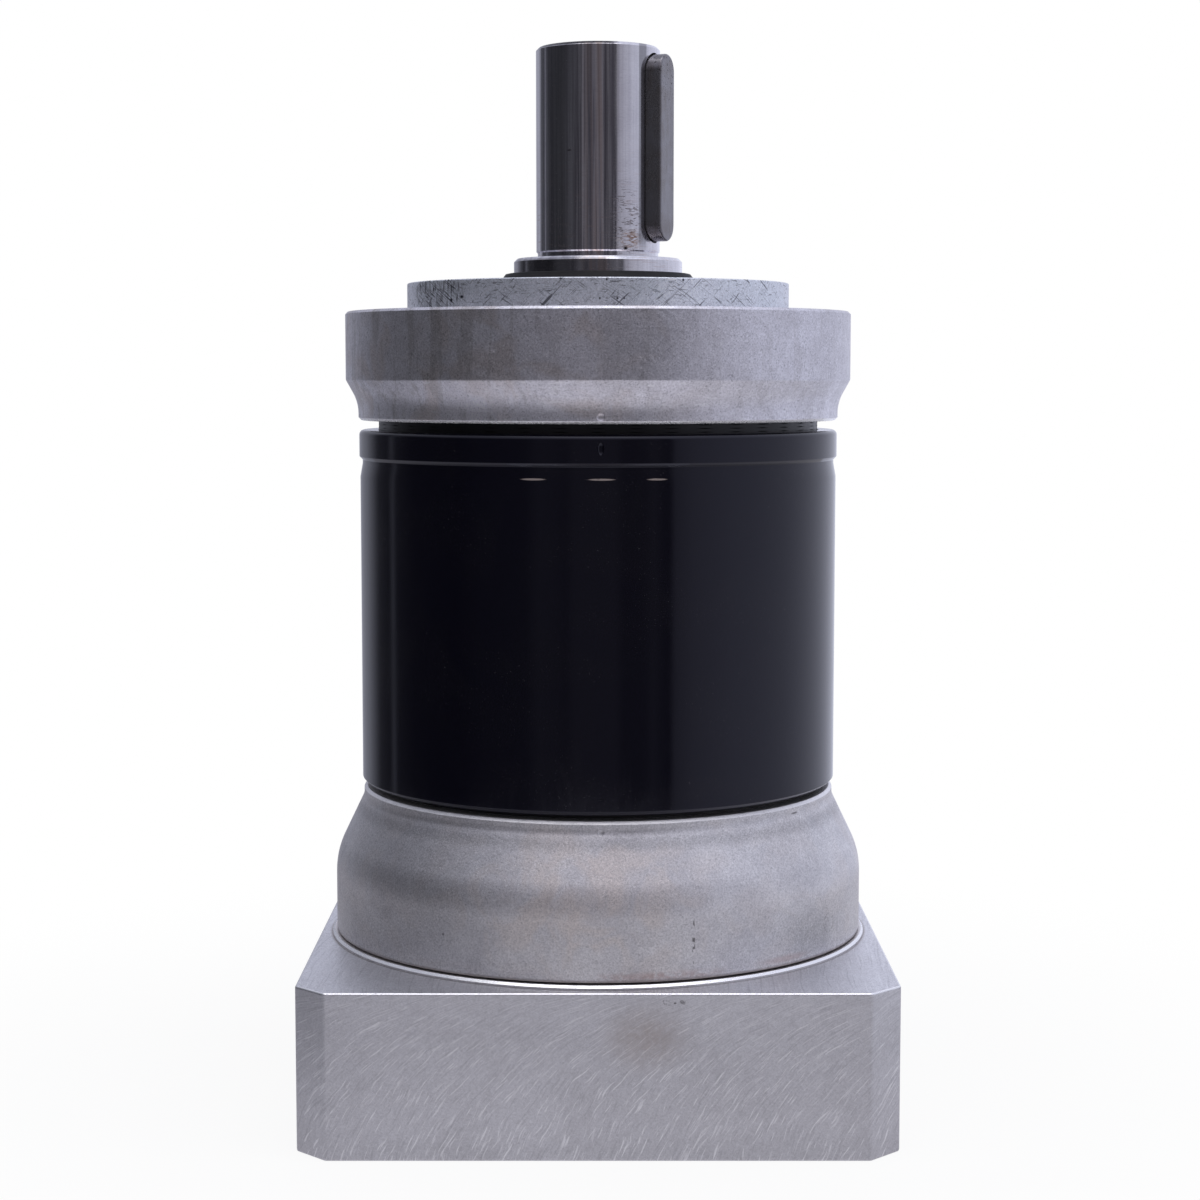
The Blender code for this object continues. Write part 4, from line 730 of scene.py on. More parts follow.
def addPiece(name, mesh, finish, body, slot, *nodes):  # the nodes are those that the piece replaces
    mesh.name = name
    mesh.materials.clear()
    mesh.materials.append(finishes[finish])
    mesh.shade_smooth()
    mesh.set_sharp_from_angle(angle=math.radians(35))
    item = placed(name, mesh)
    item.modifiers.new("Shading", "WEIGHTED_NORMAL").keep_sharp = True
    mesh = bakedMesh(item)
    mesh.name = name
    item = placed(name, mesh)
    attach(item, body)
    if nodes:
        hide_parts(*nodes)
    print("made", name, len(mesh.polygons), "faces")


# Geometry Nodes trees

def newGrowth(name, *labels, whole=()):  # a tree whose inputs are a mesh, numbers and a material
    tree = bpy.data.node_groups.new(name, "GeometryNodeTree")
    kinds = {"Geometry": "Geometry", **dict.fromkeys(whole, "Int"), **dict.fromkeys(labels, "Float"),
             "Material": "Material"}
    for label, kind in kinds.items():
        tree.interface.new_socket(label, in_out="INPUT", socket_type="NodeSocket" + kind)
    tree.interface.new_socket("Geometry", in_out="OUTPUT", socket_type="NodeSocketGeometry")
    given = tree.nodes.new("NodeGroupInput")
    return Signal(tree), {socket.name: Signal(tree, socket) for socket in given.outputs if socket.name}


def closeGrowth(sheet, given, shape):
    real = sheet.node("GeometryNodeRealizeInstances", {}, {"Geometry": shape})
    coated = sheet.node("GeometryNodeSetMaterial", {}, {"Geometry": real, "Material": given["Material"]})
    sheet.node("NodeGroupOutput", {}, {"Geometry": coated})
    return sheet.tree


def threadGrowth():  # a screw thread as one wound ridge
    sheet, given = newGrowth("woundThread", "Radius", "Pitch", "Length", "Ridge", "Bottom")
    path = sheet.node("GeometryNodeCurveSpiral", {}, {
        "Resolution": 40, "Rotations": given["Length"] / given["Pitch"], "Start Radius": given["Radius"],
        "End Radius": given["Radius"], "Height": given["Length"]})
    section = sheet.node("GeometryNodeCurvePrimitiveCircle", {}, {"Resolution": 4, "Radius": given["Ridge"]})
    ridge = sheet.node("GeometryNodeCurveToMesh", {}, {
        "Curve": path, "Profile Curve": section, "Fill Caps": True})
    raised = sheet.node("GeometryNodeTransform", {}, {
        "Geometry": ridge, "Translation": joined(sheet, 0.0, 0.0, given["Bottom"])})
    return closeGrowth(sheet, given, raised)


def circleGrowth():  # copies of the object's own mesh on a circle, each turned with it
    sheet, given = newGrowth("setOnCircle", "Circle", "First", whole=["Count"])
    points = sheet.node("GeometryNodeMeshCircle", {}, {"Vertices": given["Count"], "Radius": given["Circle"]})
    turned = sheet.node("GeometryNodeTransform", {}, {
        "Geometry": points, "Rotation": joined(sheet, 0.0, 0.0, given["First"])})
    index = sheet.node("GeometryNodeInputIndex")
    angle = index / given["Count"] * (2 * math.pi) + given["First"]
    copies = sheet.node("GeometryNodeInstanceOnPoints", {}, {
        "Points": turned, "Instance": given["Geometry"], "Rotation": joined(sheet, 0.0, 0.0, angle)})
    return closeGrowth(sheet, given, copies)


growths = {"thread": threadGrowth(), "circle": circleGrowth()}

threadSizes = {  # pitch, length and ridge in mm
    "centreHoleThread": (1.25, 14, 0.45), "flangeThreads": (1.0, 9, 0.35), "neckThread": (0.6, 1.35, 0.08),
    "adapterThreads": (1.25, 17, 0.42)}


def grown(mesh, finish, **sizesOfTrees):  # the trees by name, each with its sizes
    item = placed("work", mesh)
    for name, sizes in sizesOfTrees.items():
        sizes["Material"] = finishes[finish]
        modifier = item.modifiers.new(name, "NODES")
        modifier.node_group = growths[name]
        for socket in growths[name].interface.items_tree:
            if socket.in_out == "INPUT" and socket.name in sizes:
                modifier[socket.identifier] = sizes[socket.name]
    return bakedMesh(item)


def onCircle(radius, first):  # four copies, on a circle of this radius in mm
    return {"Count": 4, "Circle": radius * mm, "First": math.radians(first)}


def addThread(name, finish, body, slot, radius, bottom, **trees):
    pitch, length, ridge = threadSizes[name]
    sizes = {"Radius": radius * mm, "Pitch": pitch * mm, "Length": length * mm, "Ridge": ridge * mm,
             "Bottom": bottom * mm}
    addPiece(name, grown(pin(1, 0, 1), finish, thread=sizes, **trees), finish, body, slot)


def reach(node):  # radius, bottom and top of a turned CAD node in mm
    low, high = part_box(node)
    return high[0] / mm, low[2] / mm, high[2] / mm


# Gear teeth

gearSizes = Named(
    module=1.75, pressureAngle=25, sun=12, planet=12, ring=36, firstPlanet=90, thinning=0.1, flankSteps=6)


def toothOutline(teeth, inner, outer, thinning, phase):
    pressureAngle = math.radians(gearSizes.pressureAngle)
    pitch = gearSizes.module * teeth / 2
    base = pitch * math.cos(pressureAngle)
    halfAtPitch = math.pi / (2 * teeth) - thinning / pitch

    def involute(angle):
        return math.tan(angle) - angle

    def halfAngle(radius):
        return halfAtPitch + involute(pressureAngle) - involute(math.acos(min(1.0, base / radius)))

    count = gearSizes.flankSteps
    radii = [inner + (outer - inner) * step / count for step in range(count + 1)]
    points = []
    for centre in around(teeth, phase):
        points += [polar(radius, centre - halfAngle(radius)) for radius in radii]
        points += [polar(radius, centre + halfAngle(radius)) for radius in reversed(radii)]
    return points


def sunPhase():
    turns = math.pi * (1 + gearSizes.planet)
    first = math.radians(gearSizes.firstPlanet)
    return (turns + first * (gearSizes.sun + gearSizes.ring)) / gearSizes.sun


# Output shaft with its carrier cage, and the key

shaftSizes = Named(
    radius=11.0, seat=15.0, chamfer=0.5, shoulderHeight=148.85, shoulderChamfer=0.6, reliefWidth=1.2,
    reliefDepth=0.25, centreHole=3.4, centreDepth=20.0, countersink=0.8, groove=(13.9, 135.6, 137.7),
    collar=(18.0, 103.5, 106.7), cheeks=(82.5, 97.5), pinCircle=21.0, pinHole=4.3, planetRoom=13.0, sunHole=12.75,
    soft=0.12)

keySizes = Named(width=6.0, height=6.0, length=32.5, proud=2.5, fromEnd=1.6, edge=0.4, angle=-25, clearance=0.3)


def cloverOutline(radius, circle):  # clearance round the sun joined with one round each planet
    meeting = math.acos(circle / (2 * radius))
    outline = []
    for angle in around(3, math.radians(gearSizes.firstPlanet)):
        start, end = angle + meeting - math.pi, angle + math.pi - meeting
        outline += arc(polar(circle, angle), radius, math.degrees(start), math.degrees(end), 36)
        following = angle + 2 * math.pi / 3
        outline += arc((0, 0), radius, math.degrees(angle + meeting), math.degrees(following - meeting))[1:-1]
    return outline


def stadium(length, width, count=16):
    half = (length - width) / 2
    return arc((half, 0), width / 2, -90, 90, count) + arc((-half, 0), width / 2, 90, 270, count)


def onKeyway():  # turns an outline to lie along the shaft, its height outwards at the key
    top = reach("output_shaft")[2]
    outward = Vector((*polar(1, math.radians(keySizes.angle)), 0))
    along = Vector((0, 0, 1))
    axes = Matrix((along, outward.cross(along), outward)).transposed().to_4x4()
    return shifted(0, 0, top - keySizes.fromEnd - keySizes.length / 2) @ axes


def makeShaft():
    size = shaftSizes
    carrier, bottom, top = reach("output_shaft")
    shoulder = size.shoulderHeight
    grooveRadius, grooveBottom, grooveTop = size.groove
    collar, cageTop, collarTop = size.collar
    radius, seat, hole = size.radius, size.seat, size.centreHole
    relief = radius - size.reliefDepth
    profile = [
        (0, top - size.centreDepth - 2), (hole, top - size.centreDepth),
        (hole, top - size.countersink), (hole + size.countersink, top),
        (radius - size.chamfer, top), (radius, top - size.chamfer),
        (radius, shoulder + size.reliefWidth), (relief, shoulder + size.reliefWidth - size.reliefDepth),
        (relief, shoulder), (seat - size.shoulderChamfer, shoulder), (seat, shoulder - size.shoulderChamfer),
        *steps(seat, grooveTop, grooveRadius, grooveBottom, seat, collarTop, collar, cageTop, carrier, bottom, 0),
    ]
    clearance = keySizes.clearance
    slot = stadium(keySizes.length + 2 * clearance, keySizes.width + 2 * clearance)
    floor = radius + keySizes.proud - keySizes.height - clearance
    keyway = moved(prism(slot, floor, seat), onKeyway())
    low, high = size.cheeks
    pockets = prism(cloverOutline(size.planetRoom, size.pinCircle), low, high)
    sunHole = pin(size.sunHole, bottom - 1, low + 1)
    angles = around(3, math.radians(gearSizes.firstPlanet))
    pinHoles = ringOf(pin(size.pinHole, bottom - 1, cageTop + 1), size.pinCircle, angles)
    mesh = cut(rounded(profile, size.soft, 144), keyway, pockets, sunHole, pinHoles)
    addPiece("outputShaft", mesh, "shaft", "output", "ground_steel", "output_shaft")
    addThread("centreHoleThread", "shaft", "output", "ground_steel", hole + 0.12, top - 16)


def makeKey():
    size = keySizes
    top = shaftSizes.radius + size.proud
    mesh = prism(stadium(size.length, size.width), top - size.height, top)
    mesh = bevelled(mesh, size.edge, 60)
    addPiece("shaftKey", moved(mesh, onKeyway()), "key", "output", "key_steel", "shaft_key")


# Output seal

outputSealSizes = Named(shaft=15.3, lip=16.5, lipFoot=17.5, face=144.4, case=22.3, soft=0.15)


def makeOutputSeal():
    size = outputSealSizes
    outer, bottom, top = reach("output_seal")
    face, case = size.face, size.case
    profile = [
        (size.shaft, top - 0.25), (size.lip - 0.5, top), (size.lip, top - 0.1),
        (size.lipFoot, face + 0.35), (size.lipFoot + 0.9, face - 0.35),
        (size.lipFoot + 1.8, face - 0.35), (size.lipFoot + 2.2, face - 0.05), (case - 0.4, face - 0.05),
        *steps(case, face - 0.4, outer, bottom, case, face - 1.4, size.lipFoot),
        (size.lipFoot - 0.6, bottom + 2.6), (size.shaft + 0.6, bottom + 1.6), (size.shaft, bottom + 2.4),
    ]
    addPiece("outputSeal", rounded(profile, size.soft), "rubber", "housing", "seal_rubber", "output_seal")


# Output flange

flangeSizes = Named(
    sealBore=23.8, pilot=34.0, pilotChamfer=0.15, face=139.4, chamfer=0.45, foot=42.8, bottom=120.3, footHeight=1.2,
    footRound=0.5, coveAngle=29, hollow=7.5, corner=0.8, spigot=39.22, bore=27.8, groove=(28.9, 104.9, 107.0),
    land=(23.3, 135.9, 137.1), boltCircle=39.6, boltHole=2.5, boltDepth=10.5, neckBottom=118.75,
    markHeight=121.4, markWidth=1.5, soft=0.12)


def coveOutline():
    size = flangeSizes
    rim = reach("output_flange")[0]
    bend = 1 - math.cos(math.radians(size.coveAngle))
    rise = math.sin(math.radians(size.coveAngle))
    reachOfArcs = size.hollow + size.corner
    cone = (rim - size.foot - bend * reachOfArcs) / math.tan(math.radians(size.coveAngle))
    start = size.bottom + size.footHeight
    top = start + reachOfArcs * rise + cone
    corner = arc((rim - size.corner, top), size.corner, 0, -size.coveAngle, 6)
    hollow = arc((size.foot + size.hollow, start), size.hollow, 180 - size.coveAngle, 180, 10)
    return corner + hollow


def makeFlange():
    size = flangeSizes
    rim, end, top = reach("output_flange")
    grooveRadius, grooveBottom, grooveTop = size.groove
    land, landBottom, landTop = size.land
    foot, bottom, face = size.foot, size.bottom, size.face
    profile = [
        (size.sealBore, top - 0.4), (size.sealBore + 0.4, top),
        (size.pilot - size.pilotChamfer, top), (size.pilot, top - size.pilotChamfer),
        (size.pilot, face), (rim - size.chamfer, face), (rim, face - size.chamfer),
        *coveOutline(),
        (foot, bottom + size.footRound),
        *steps(foot - size.footRound, bottom, size.spigot, end, size.bore, grooveBottom, grooveRadius, grooveTop,
               size.bore, landBottom, land, landTop, size.sealBore),
    ]
    hole = size.boltHole
    bolt = [(0, face + 1), (hole + 1.6, face + 1), (hole, face - 0.6), (hole, face - size.boltDepth),
            (0, face - size.boltDepth - 1.4)]
    bolts = ringOf(lathe(bolt, holeSegments), size.boltCircle, around(4, math.radians(firstBolt)))
    mark = punchMark(foot, size.markHeight, size.markWidth, size.markWidth)
    mesh = cut(rounded(profile, size.soft), bolts, mark)
    addPiece("outputFlange", mesh, "flange", "housing", "turned_aluminium", "output_flange")
    addThread("flangeThreads", "flange", "housing", "turned_aluminium", hole + 0.05, face - 9.7,
              circle=onCircle(size.boltCircle, firstBolt))
    # A black wound ridge on the spigot, in the gap between the flange's foot and the ring.
    addThread("neckThread", "rubber", "housing", "black_coating", size.spigot + 0.02, size.neckBottom)


# Ring gear

ringSizes = Named(
    counterbore=39.52, bandHeight=4.7, grooveWidth=3.6, grooveDepth=0.42, topRound=0.9, radius=42.55, bevel=0.75,
    blankBore=27.75, toothTip=29.75, toothRoot=33.69, teeth=(60.1, 103.7), topMark=(116.3, 1.1, 2.2),
    bottomMark=(58.5, 1.0, 0.45), soft=0.15)


def makeRingGear():
    size = ringSizes
    band, bottom, top = reach("ring_gear")
    low, high = size.teeth
    radius, counterbore = size.radius, size.counterbore
    grooveTop = top - size.bandHeight
    grooveBottom = grooveTop - size.grooveWidth
    floor = radius - size.grooveDepth
    profile = [
        (counterbore, top), *arc((band - size.topRound, top - size.topRound), size.topRound, 90, 0),
        (band, grooveTop), (floor, grooveTop - 0.6), (floor, grooveTop - 1.2), (radius, grooveBottom),
        (radius, bottom + size.bevel),
        *steps(radius - size.bevel, bottom, counterbore, low, size.blankBore, high, counterbore),
    ]
    spaces = toothOutline(gearSizes.ring, size.toothTip, size.toothRoot, -gearSizes.thinning, 0)
    teeth = prism(spaces, low - 1, high + 1)
    marks = gathered([punchMark(band, *size.topMark), punchMark(radius, *size.bottomMark, 0.25)])
    mesh = cut(rounded(profile, size.soft), teeth, marks)
    addPiece("ringGear", mesh, "coating", "housing", "black_coating", "ring_gear")


# Input bell and its seal

bellSizes = Named(
    topRadius=42.3, top=54.9, topChamfer=0.5, neck=1.8, fillet=3.0, angle=25.7, shoulder=14.5, bottom=29.1,
    register=33.0, cavity=29.0, sealMouth=34.1, sealBore=26.3, land=(23.3, 41.7, 42.9), bore=27.8,
    groove=(28.9, 53.2, 55.3), spigot=39.22, screwCircle=38.5, screwHole=3.3, screwDepth=11.0, markHeight=53.1,
    markWidth=1.25, soft=0.12)


def flareOutline():
    size = bellSizes
    radius = reach("input_bell")[0]
    angle = math.radians(size.angle)
    neck = size.top - size.neck
    cone = (radius - size.topRadius - (1 - math.cos(angle)) * size.shoulder) / math.tan(angle)
    tangent = size.fillet * math.tan(angle / 2)
    centre = (size.topRadius + size.fillet, neck + tangent)
    fillet = arc(centre, size.fillet, 180, 180 + size.angle, 8)
    end = neck - cone - size.shoulder * math.sin(angle)
    return fillet + arc((radius - size.shoulder, end), size.shoulder, size.angle, 0, 10)


def makeBell():
    size = bellSizes
    radius, registerEnd, end = reach("input_bell")
    grooveRadius, grooveBottom, grooveTop = size.groove
    land, landBottom, landTop = size.land
    profile = [
        *steps(size.bore, end, size.spigot, size.top, size.topRadius - size.topChamfer),
        (size.topRadius, size.top - size.topChamfer), *flareOutline(),
        *steps(radius, size.bottom, size.register, registerEnd, size.cavity, size.sealMouth, size.sealBore,
               landBottom, land, landTop, size.bore, grooveBottom, grooveRadius, grooveTop, size.bore),
    ]
    hole = pin(size.screwHole, size.bottom - 1, size.bottom + size.screwDepth, holeSegments)
    holes = ringOf(hole, size.screwCircle, around(4))
    mark = punchMark(size.topRadius + 0.05, size.markHeight, size.markWidth, size.markWidth)
    mesh = cut(rounded(profile, size.soft), holes, mark)
    addPiece("inputBell", mesh, "bell", "housing", "turned_aluminium", "input_bell")


inputSealSizes = Named(shaft=17.8, lip=19.0, case=24.8, soft=0.15)


def makeInputSeal():
    size = inputSealSizes
    outer, bottom, top = reach("input_seal")
    face = bottom + 0.8
    profile = [
        (size.shaft, top - 2.4), (size.shaft + 0.7, top - 1.6), (size.lip + 0.3, top - 2.6),
        *steps(size.lip + 0.6, face + 1.4, size.case, top, outer, face + 0.3, size.case), (size.case - 0.4, face),
        (size.lip + 1.2, face), (size.lip, bottom), (size.shaft, bottom + 0.2),
    ]
    addPiece("inputSeal", rounded(profile, size.soft, 128), "rubber", "housing", "seal_rubber", "input_seal")


# Motor adapter, its screws and the access plug

adapterSizes = Named(
    height=28.1, corner=5.2, edge=0.45, seatRing=48.2, seatEdge=0.4, register=33.3, registerFloor=26.8, cavity=29.0,
    motorPilot=47.5, pilotDepth=5.0, motorBoltCircle=57.5, motorBolt=3.4, motorBoltDepth=20.0, accessRadius=4.5,
    accessHead=6.4, accessStep=48.2, accessX=19.0, accessHeight=19.2)

screwSizes = Named(
    radius=3.0, head=5.0, headHeight=6.0, seat=12.0, circle=38.5, socket=2.88, socketDepth=3.2, clearance=0.3,
    soft=0.15)


def alongY(x, z):  # turns what is modelled along Z to lie along +Y
    return shifted(x, 0, z) @ Matrix.Rotation(-math.pi / 2, 4, "X")


def makeAdapter():
    size = adapterSizes
    half, bottom, seatTop = reach("motor_adapter")
    inset = half - size.corner
    outline = [(half, -inset), (half, inset), (inset, half), (-inset, half)]
    outline += [(-x, -y) for x, y in outline]
    plate = bevelled(prism(outline, bottom, size.height), size.edge)
    edge = size.seatEdge
    seat = lathe([(0, seatTop), (size.seatRing - edge, seatTop), (size.seatRing, seatTop - edge),
                  (size.seatRing, size.height - 1), (0, size.height - 1)])
    hole = size.motorBolt
    bolt = lathe([(0, size.motorBoltDepth + 1.6), (hole, size.motorBoltDepth), (hole, 0.6),
                  (hole + 1.6, -1), (0, -1)], holeSegments)
    bolts = ringOf(bolt, size.motorBoltCircle, around(4, math.radians(firstBolt)))
    shank, head, shelf = (screwSizes[part] + screwSizes.clearance for part in ("radius", "head", "seat"))
    screwHole = lathe(steps(0, seatTop + 1, shank, shelf, head, 4, 0), holeSegments)
    screwHoles = ringOf(screwHole, screwSizes.circle, around(4))
    bore = rounded([*steps(0, seatTop + 1, size.register, size.registerFloor, size.cavity, size.pilotDepth,
                           size.motorPilot, 0.4), (size.motorPilot + 1.4, -1), (0, -1)], 0.1)
    access = [(0, half + 1), (size.accessHead + 1.4, half + 1), (size.accessHead, half - 0.4),
              (size.accessHead, size.accessStep), (size.accessRadius, size.accessStep),
              (size.accessRadius, size.cavity / 2), (0, size.cavity / 2)]
    access = moved(lathe(access, smallSegments), alongY(size.accessX, size.accessHeight))
    mesh = cut(plate, bolts, screwHoles, bore, access, added=[seat])
    addPiece("motorAdapter", mesh, "plate", "housing", "milled_aluminium", "motor_adapter")
    addThread("adapterThreads", "plate", "housing", "milled_aluminium", hole + 0.12, 1.2,
              circle=onCircle(size.motorBoltCircle, firstBolt))


def socketScrew(seat, length):  # a socket head screw along Z with its head up
    size = screwSizes
    top = seat + size.headHeight
    profile = [(0, top), (size.head - 0.5, top), (size.head, top - 0.5), (size.head, seat),
               (size.radius, seat), (size.radius, seat - length + 0.6), (size.radius - 0.6, seat - length),
               (0, seat - length)]
    socket = prism([polar(size.socket, angle) for angle in around(6)], top - size.socketDepth, top + 1)
    lead = lathe([(0, top + 1), (size.socket + 1.0, top + 1), (size.socket - 0.3, top - 0.3),
                  (0, top - 0.3)], smallSegments)
    return cut(rounded(profile, size.soft, smallSegments), socket, lead)


def makeAdapterScrews():
    tip = reach("adapter_screw_1")[2]
    screw = moved(socketScrew(-screwSizes.seat, tip - screwSizes.seat), Matrix.Rotation(math.pi, 4, "X"))
    screws = grown(screw, "screw", circle=onCircle(screwSizes.circle, 0))
    addPiece("adapterScrews", screws, "screw", "housing", "black_screw",
             *(f"adapter_screw_{number}" for number in range(1, 5)))


def makeAccessPlug():
    low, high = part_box("access_plug")
    face, end = high[1] / mm, low[1] / mm
    head, shank = (high[0] - low[0]) / 2 / mm, adapterSizes.accessRadius - 0.3
    profile = [(0, face - 0.35), (head - 1.6, face - 0.35),
               *steps(head - 1.2, face, head, face - 1.2, shank, end, 0)]
    mesh = moved(rounded(profile, 0.18, smallSegments), alongY(adapterSizes.accessX, adapterSizes.accessHeight))
    addPiece("accessPlug", mesh, "rubber", "housing", "seal_rubber", "access_plug")


# Input hub and its clamp

hubSizes = Named(
    neck=7.5, seatTop=56.2, seat=17.5, groove=(16.4, 53.2, 55.3), collar=(19.5, 41.7, 42.9), shoulder=26.5,
    clampPart=15.0, shaftHole=9.5, holeEnd=42.0, sun=(60.3, 72.3), coreTop=67.05, sunRoot=8.31, sunTip=12.25,
    slot=1.5, slotEnd=24.5, soft=0.12)

clampSizes = Named(bore=15.3, slot=2.0, screwX=19.0, screwSeat=9.0, screwLength=22.0, soft=0.5)


def makeHub():
    size = hubSizes
    bottom = reach("input_hub")[1]
    grooveRadius, grooveBottom, grooveTop = size.groove
    collar, collarBottom, collarTop = size.collar
    seat = size.seat
    profile = [
        *steps(0, size.coreTop, size.neck, size.seatTop, seat - 0.5), (seat, size.seatTop - 0.5),
        *steps(seat, grooveTop, grooveRadius, grooveBottom, seat, collarTop, collar, collarBottom, seat,
               size.shoulder, size.clampPart, bottom + 0.5), (size.clampPart - 0.5, bottom),
        (size.shaftHole + 0.5, bottom), (size.shaftHole, bottom + 0.5), (size.shaftHole, size.holeEnd),
        (0, size.holeEnd),
    ]
    teeth = toothOutline(gearSizes.sun, size.sunRoot, size.sunTip, gearSizes.thinning, sunPhase())
    half = size.slot / 2
    slot = block((size.shaftHole / 2, -half, bottom - 1), (size.clampPart + 1, half, size.slotEnd))
    mesh = cut(rounded(profile, size.soft, 96), slot, added=[prism(teeth, *size.sun)])
    addPiece("inputHub", mesh, "gear", "input", "gear_steel", "input_hub")


def makeClamp():
    size = clampSizes
    outer, bottom, top = reach("clamp_ring")
    height = (top + bottom) / 2
    bore = size.bore
    ring = rounded(steps(bore, top, outer, bottom, bore), size.soft, 128)
    half = size.slot / 2
    slot = block((bore / 2, -half, bottom - 1), (outer + 1, half, top + 1))
    shank, head = (screwSizes[part] + screwSizes.clearance for part in ("radius", "head"))
    hole = lathe(steps(0, outer, head, size.screwSeat - screwSizes.clearance, shank, -outer, 0), holeSegments)
    hole = moved(hole, alongY(size.screwX, height))
    addPiece("clampRing", cut(ring, slot, hole), "screw", "input", "black_screw", "clamp_ring")
    screw = moved(socketScrew(size.screwSeat, size.screwLength), alongY(size.screwX, height))
    addPiece("clampScrew", screw, "screw", "input", "black_screw", "clamp_screw")


for make in (makeShaft, makeKey, makeOutputSeal, makeFlange, makeRingGear, makeBell, makeInputSeal,
             makeAdapter, makeAdapterScrews, makeAccessPlug, makeHub, makeClamp):
    make()


# Pieces that keep their CAD mesh

keptPieces = {
    "gear": ["stage1_carrier", "stage2_sun"]
    + [f"stage{stage}_planet_{number}" for stage in (1, 2) for number in (1, 2, 3)],
    "pin": [f"stage{stage}_pin_{number}" for stage in (1, 2) for number in (1, 2, 3)],
    "bearing": [f"stage{stage}_needles_{number}" for stage in (1, 2) for number in (1, 2, 3)]
    + [f"{place}_bearing_{part}" for place in ("front", "rear", "input") for part in ("outer", "inner", "balls")]
    + ["bearing_spacer_outer", "bearing_spacer_inner"],
    "spring": ["flange_circlip", "bell_circlip", "shaft_circlip", "hub_circlip"],
}

for finish, names in keptPieces.items():
    for name in names:
        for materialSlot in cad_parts[name].material_slots:
            materialSlot.material = finishes[finish]
print("hidden pieces finished")


# Studio

studio = Named(
    wallStops=((-180, 0.62), (-164, 0.36), (-146, 0.38), (-138, 0.26), (-130, 0.08), (-119, 0.05), (-115.5, 0.22),
    (-112, 0.06), (-98, 0.03), (-70, 0.022), (-56, 0.045), (-34, 0.06), (-28, 0.11), (-20, 0.10), (-15, 0.08),
    (-11, 0.125), (8, 0.13), (12, 0.075), (22, 0.08), (26, 0.13), (30, 0.08), (34, 0.06), (36.5, 0.27), (46, 0.38),
    (66, 0.49), (100, 0.56), (128, 0.68), (150, 0.78), (180, 0.82)), ceilingStops=((-180, 0.68), (-110, 0.44),
    (-60, 0.46), (0, 0.66), (60, 0.73), (120, 0.75), (180, 0.68)), frontTint=(0.985, 0.95, 1.10),
    sideTint=(0.97, 1.0, 1.19), ceilingFrom=(0.18, 0.72), overhead=(1.9, 1.9, 2.0), overheadFrom=(0.80, 0.97),
    overheadBack=(0.12, 0.04), ambient=(0.62, 0.62, 0.68), floorRadius=0.33, floorGloss=(0.575, 0.565, 0.625),
    floorLeft=(0.24, 0.24, 0.28), floorRight=(0.48, 0.48, 0.54), floorColour=(0.82, 0.82, 0.82),
    leftFade=(-0.2, 0.0), rightFade=(0.05, 0.2), whiteFade=(0.06, 0.2), aimHeight=0.09)


def tintedStops(stops):  # a ramp's stops from degrees off the front; the sides are cooler
    result = []
    for degrees, value in stops:
        side = min(1.0, abs(degrees) / 80)
        tint = [front + (cool - front) * side for front, cool in zip(studio.frontTint, studio.sideTint)]
        result.append(((degrees + 180) / 360, [value * part for part in tint]))
    return result


def rays(sheet, kind):  # 1 where the light path is of this kind
    return sheet.node("ShaderNodeLightPath", take=f"Is {kind} Ray")


def glow(sheet, kind, colour):
    return sheet.node("ShaderNode" + kind, {}, {"Color": colour, "Strength": 1.0})


def mixed(factor, first, second):
    return factor.node("ShaderNodeMixShader", {}, {0: factor, 1: first, 2: second})


def makeWorld():
    world = bpy.data.worlds.new("studioWalls")
    bpy.context.scene.world = world
    sheet = emptySheet(world)
    x, y, z = parts(sheet.node("ShaderNodeTexCoord", take="Generated"))
    turn = x.sum("ARCTAN2", x, 0 - y) / (2 * math.pi) + 0.5
    walls, ceiling = (turn.node("ShaderNodeValToRGB", {"stops": tintedStops(stops)}, {"Fac": turn})
                      for stops in (studio.wallStops, studio.ceilingStops))
    mirrored = tinted(between(z, *studio.ceilingFrom), walls, ceiling)
    above = between(z, *studio.overheadFrom) * between(y, *studio.overheadBack)
    mirrored = tinted(above, mirrored, studio.overhead)
    ambient, reflected, backdrop = (glow(sheet, "Background", colour) for colour in (studio.ambient, mirrored, white))
    shown = mixed(rays(sheet, "Glossy"), ambient, reflected)
    shown = mixed(most(rays(sheet, "Camera"), rays(sheet, "Transmission")), shown, backdrop)
    sheet.node("ShaderNodeOutputWorld", {}, {"Surface": shown})


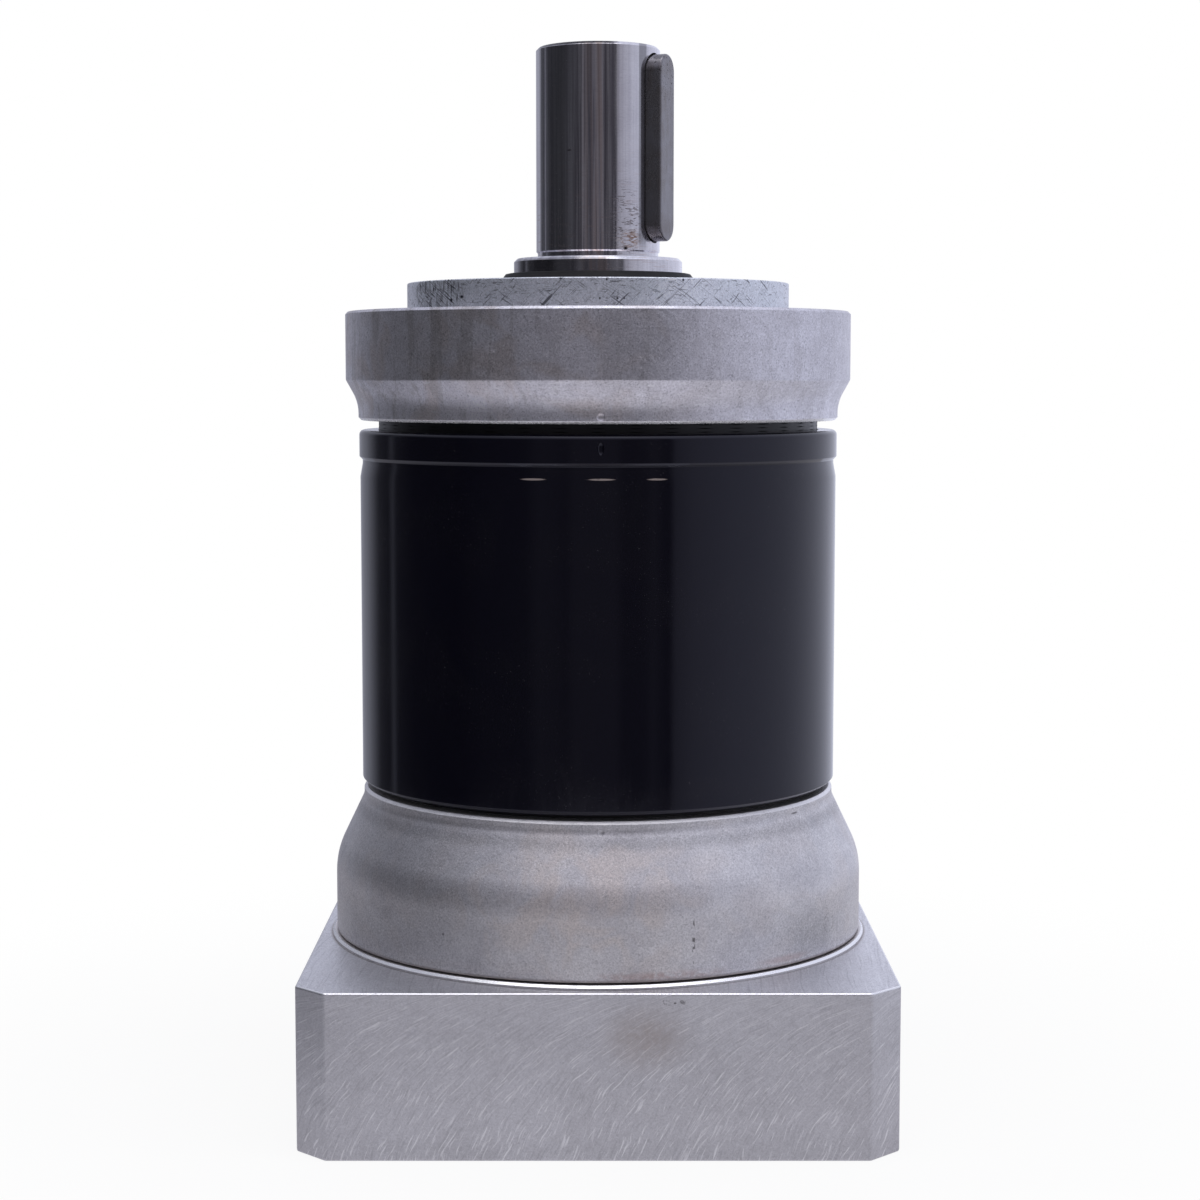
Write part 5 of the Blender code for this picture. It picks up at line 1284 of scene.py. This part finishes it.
def makeFloor():
    material = bpy.data.materials.new("paleTable")
    sheet = emptySheet(material)
    spot = sheet.node("ShaderNodeTexCoord", take="Object")
    across = parts(spot)[0]
    gloss = tinted(between(across, *studio.leftFade), studio.floorLeft, studio.floorGloss)
    gloss = tinted(between(across, *studio.rightFade), gloss, studio.floorRight)
    diffuse = sheet.node("ShaderNodeBsdfDiffuse", {}, {"Color": studio.floorColour})
    whitened = between(lengthOf(spot), *studio.whiteFade) * 0.1 + 0.9
    seen = most(rays(sheet, "Camera"), rays(sheet, "Transmission")) * whitened
    shown = mixed(seen, diffuse, glow(sheet, "Emission", white))
    shown = mixed(rays(sheet, "Glossy"), shown, glow(sheet, "Emission", gloss))
    sheet.node("ShaderNodeOutputMaterial", {}, {"Surface": shown})

    mesh = editedMesh("table", lambda work: bmesh.ops.create_circle(
        work, cap_ends=True, segments=96, radius=studio.floorRadius))
    mesh.materials.append(material)
    table = placed("table", mesh)


softboxes = {
    "rightSoftbox": Named(
        azimuth=72, elevation=22, distance=1.0, size=(0.45, 0.9), power=2.0, colour=(0.95, 0.97, 1.0)),
    "topSoftbox": Named(azimuth=20, elevation=78, distance=1.1, size=(0.8, 0.8), power=4.0, colour=white),
}


def makeLights():
    for name, box in softboxes.items():
        lamp = bpy.data.lights.new(name, "AREA")
        lamp.shape = "RECTANGLE"
        lamp.size, lamp.size_y = box.size
        lamp.energy = box.power
        lamp.color = box.colour
        item = placed(name, lamp)
        aim = Vector((0, 0, studio.aimHeight))
        flat = box.distance * math.cos(math.radians(box.elevation))
        x, y, _ = onShell(flat, box.azimuth, 0)
        item.location = aim + Vector((x, y, box.distance * math.sin(math.radians(box.elevation))))
        item.rotation_euler = (item.location - aim).to_track_quat("Z", "Y").to_euler()
        item.visible_glossy = False


cameraPlace = Named(distance=0.4401, height=0.12835, downwards=0.092, lens=73.33, sensor=36.0, shift=0.00165)


def makeCamera():
    camera = bpy.data.cameras.new("photoView")
    camera.lens = cameraPlace.lens
    camera.sensor_width = cameraPlace.sensor
    camera.shift_x = cameraPlace.shift
    camera.clip_start = 0.01
    item = placed("photoView", camera)
    item.location = (0, -cameraPlace.distance, cameraPlace.height)
    item.rotation_euler = (math.pi / 2 - cameraPlace.downwards, 0, 0)
    bpy.context.scene.camera = item


makeWorld()
makeFloor()
makeLights()
makeCamera()
bpy.context.scene.view_settings.view_transform = "Standard"
print("studio lit")
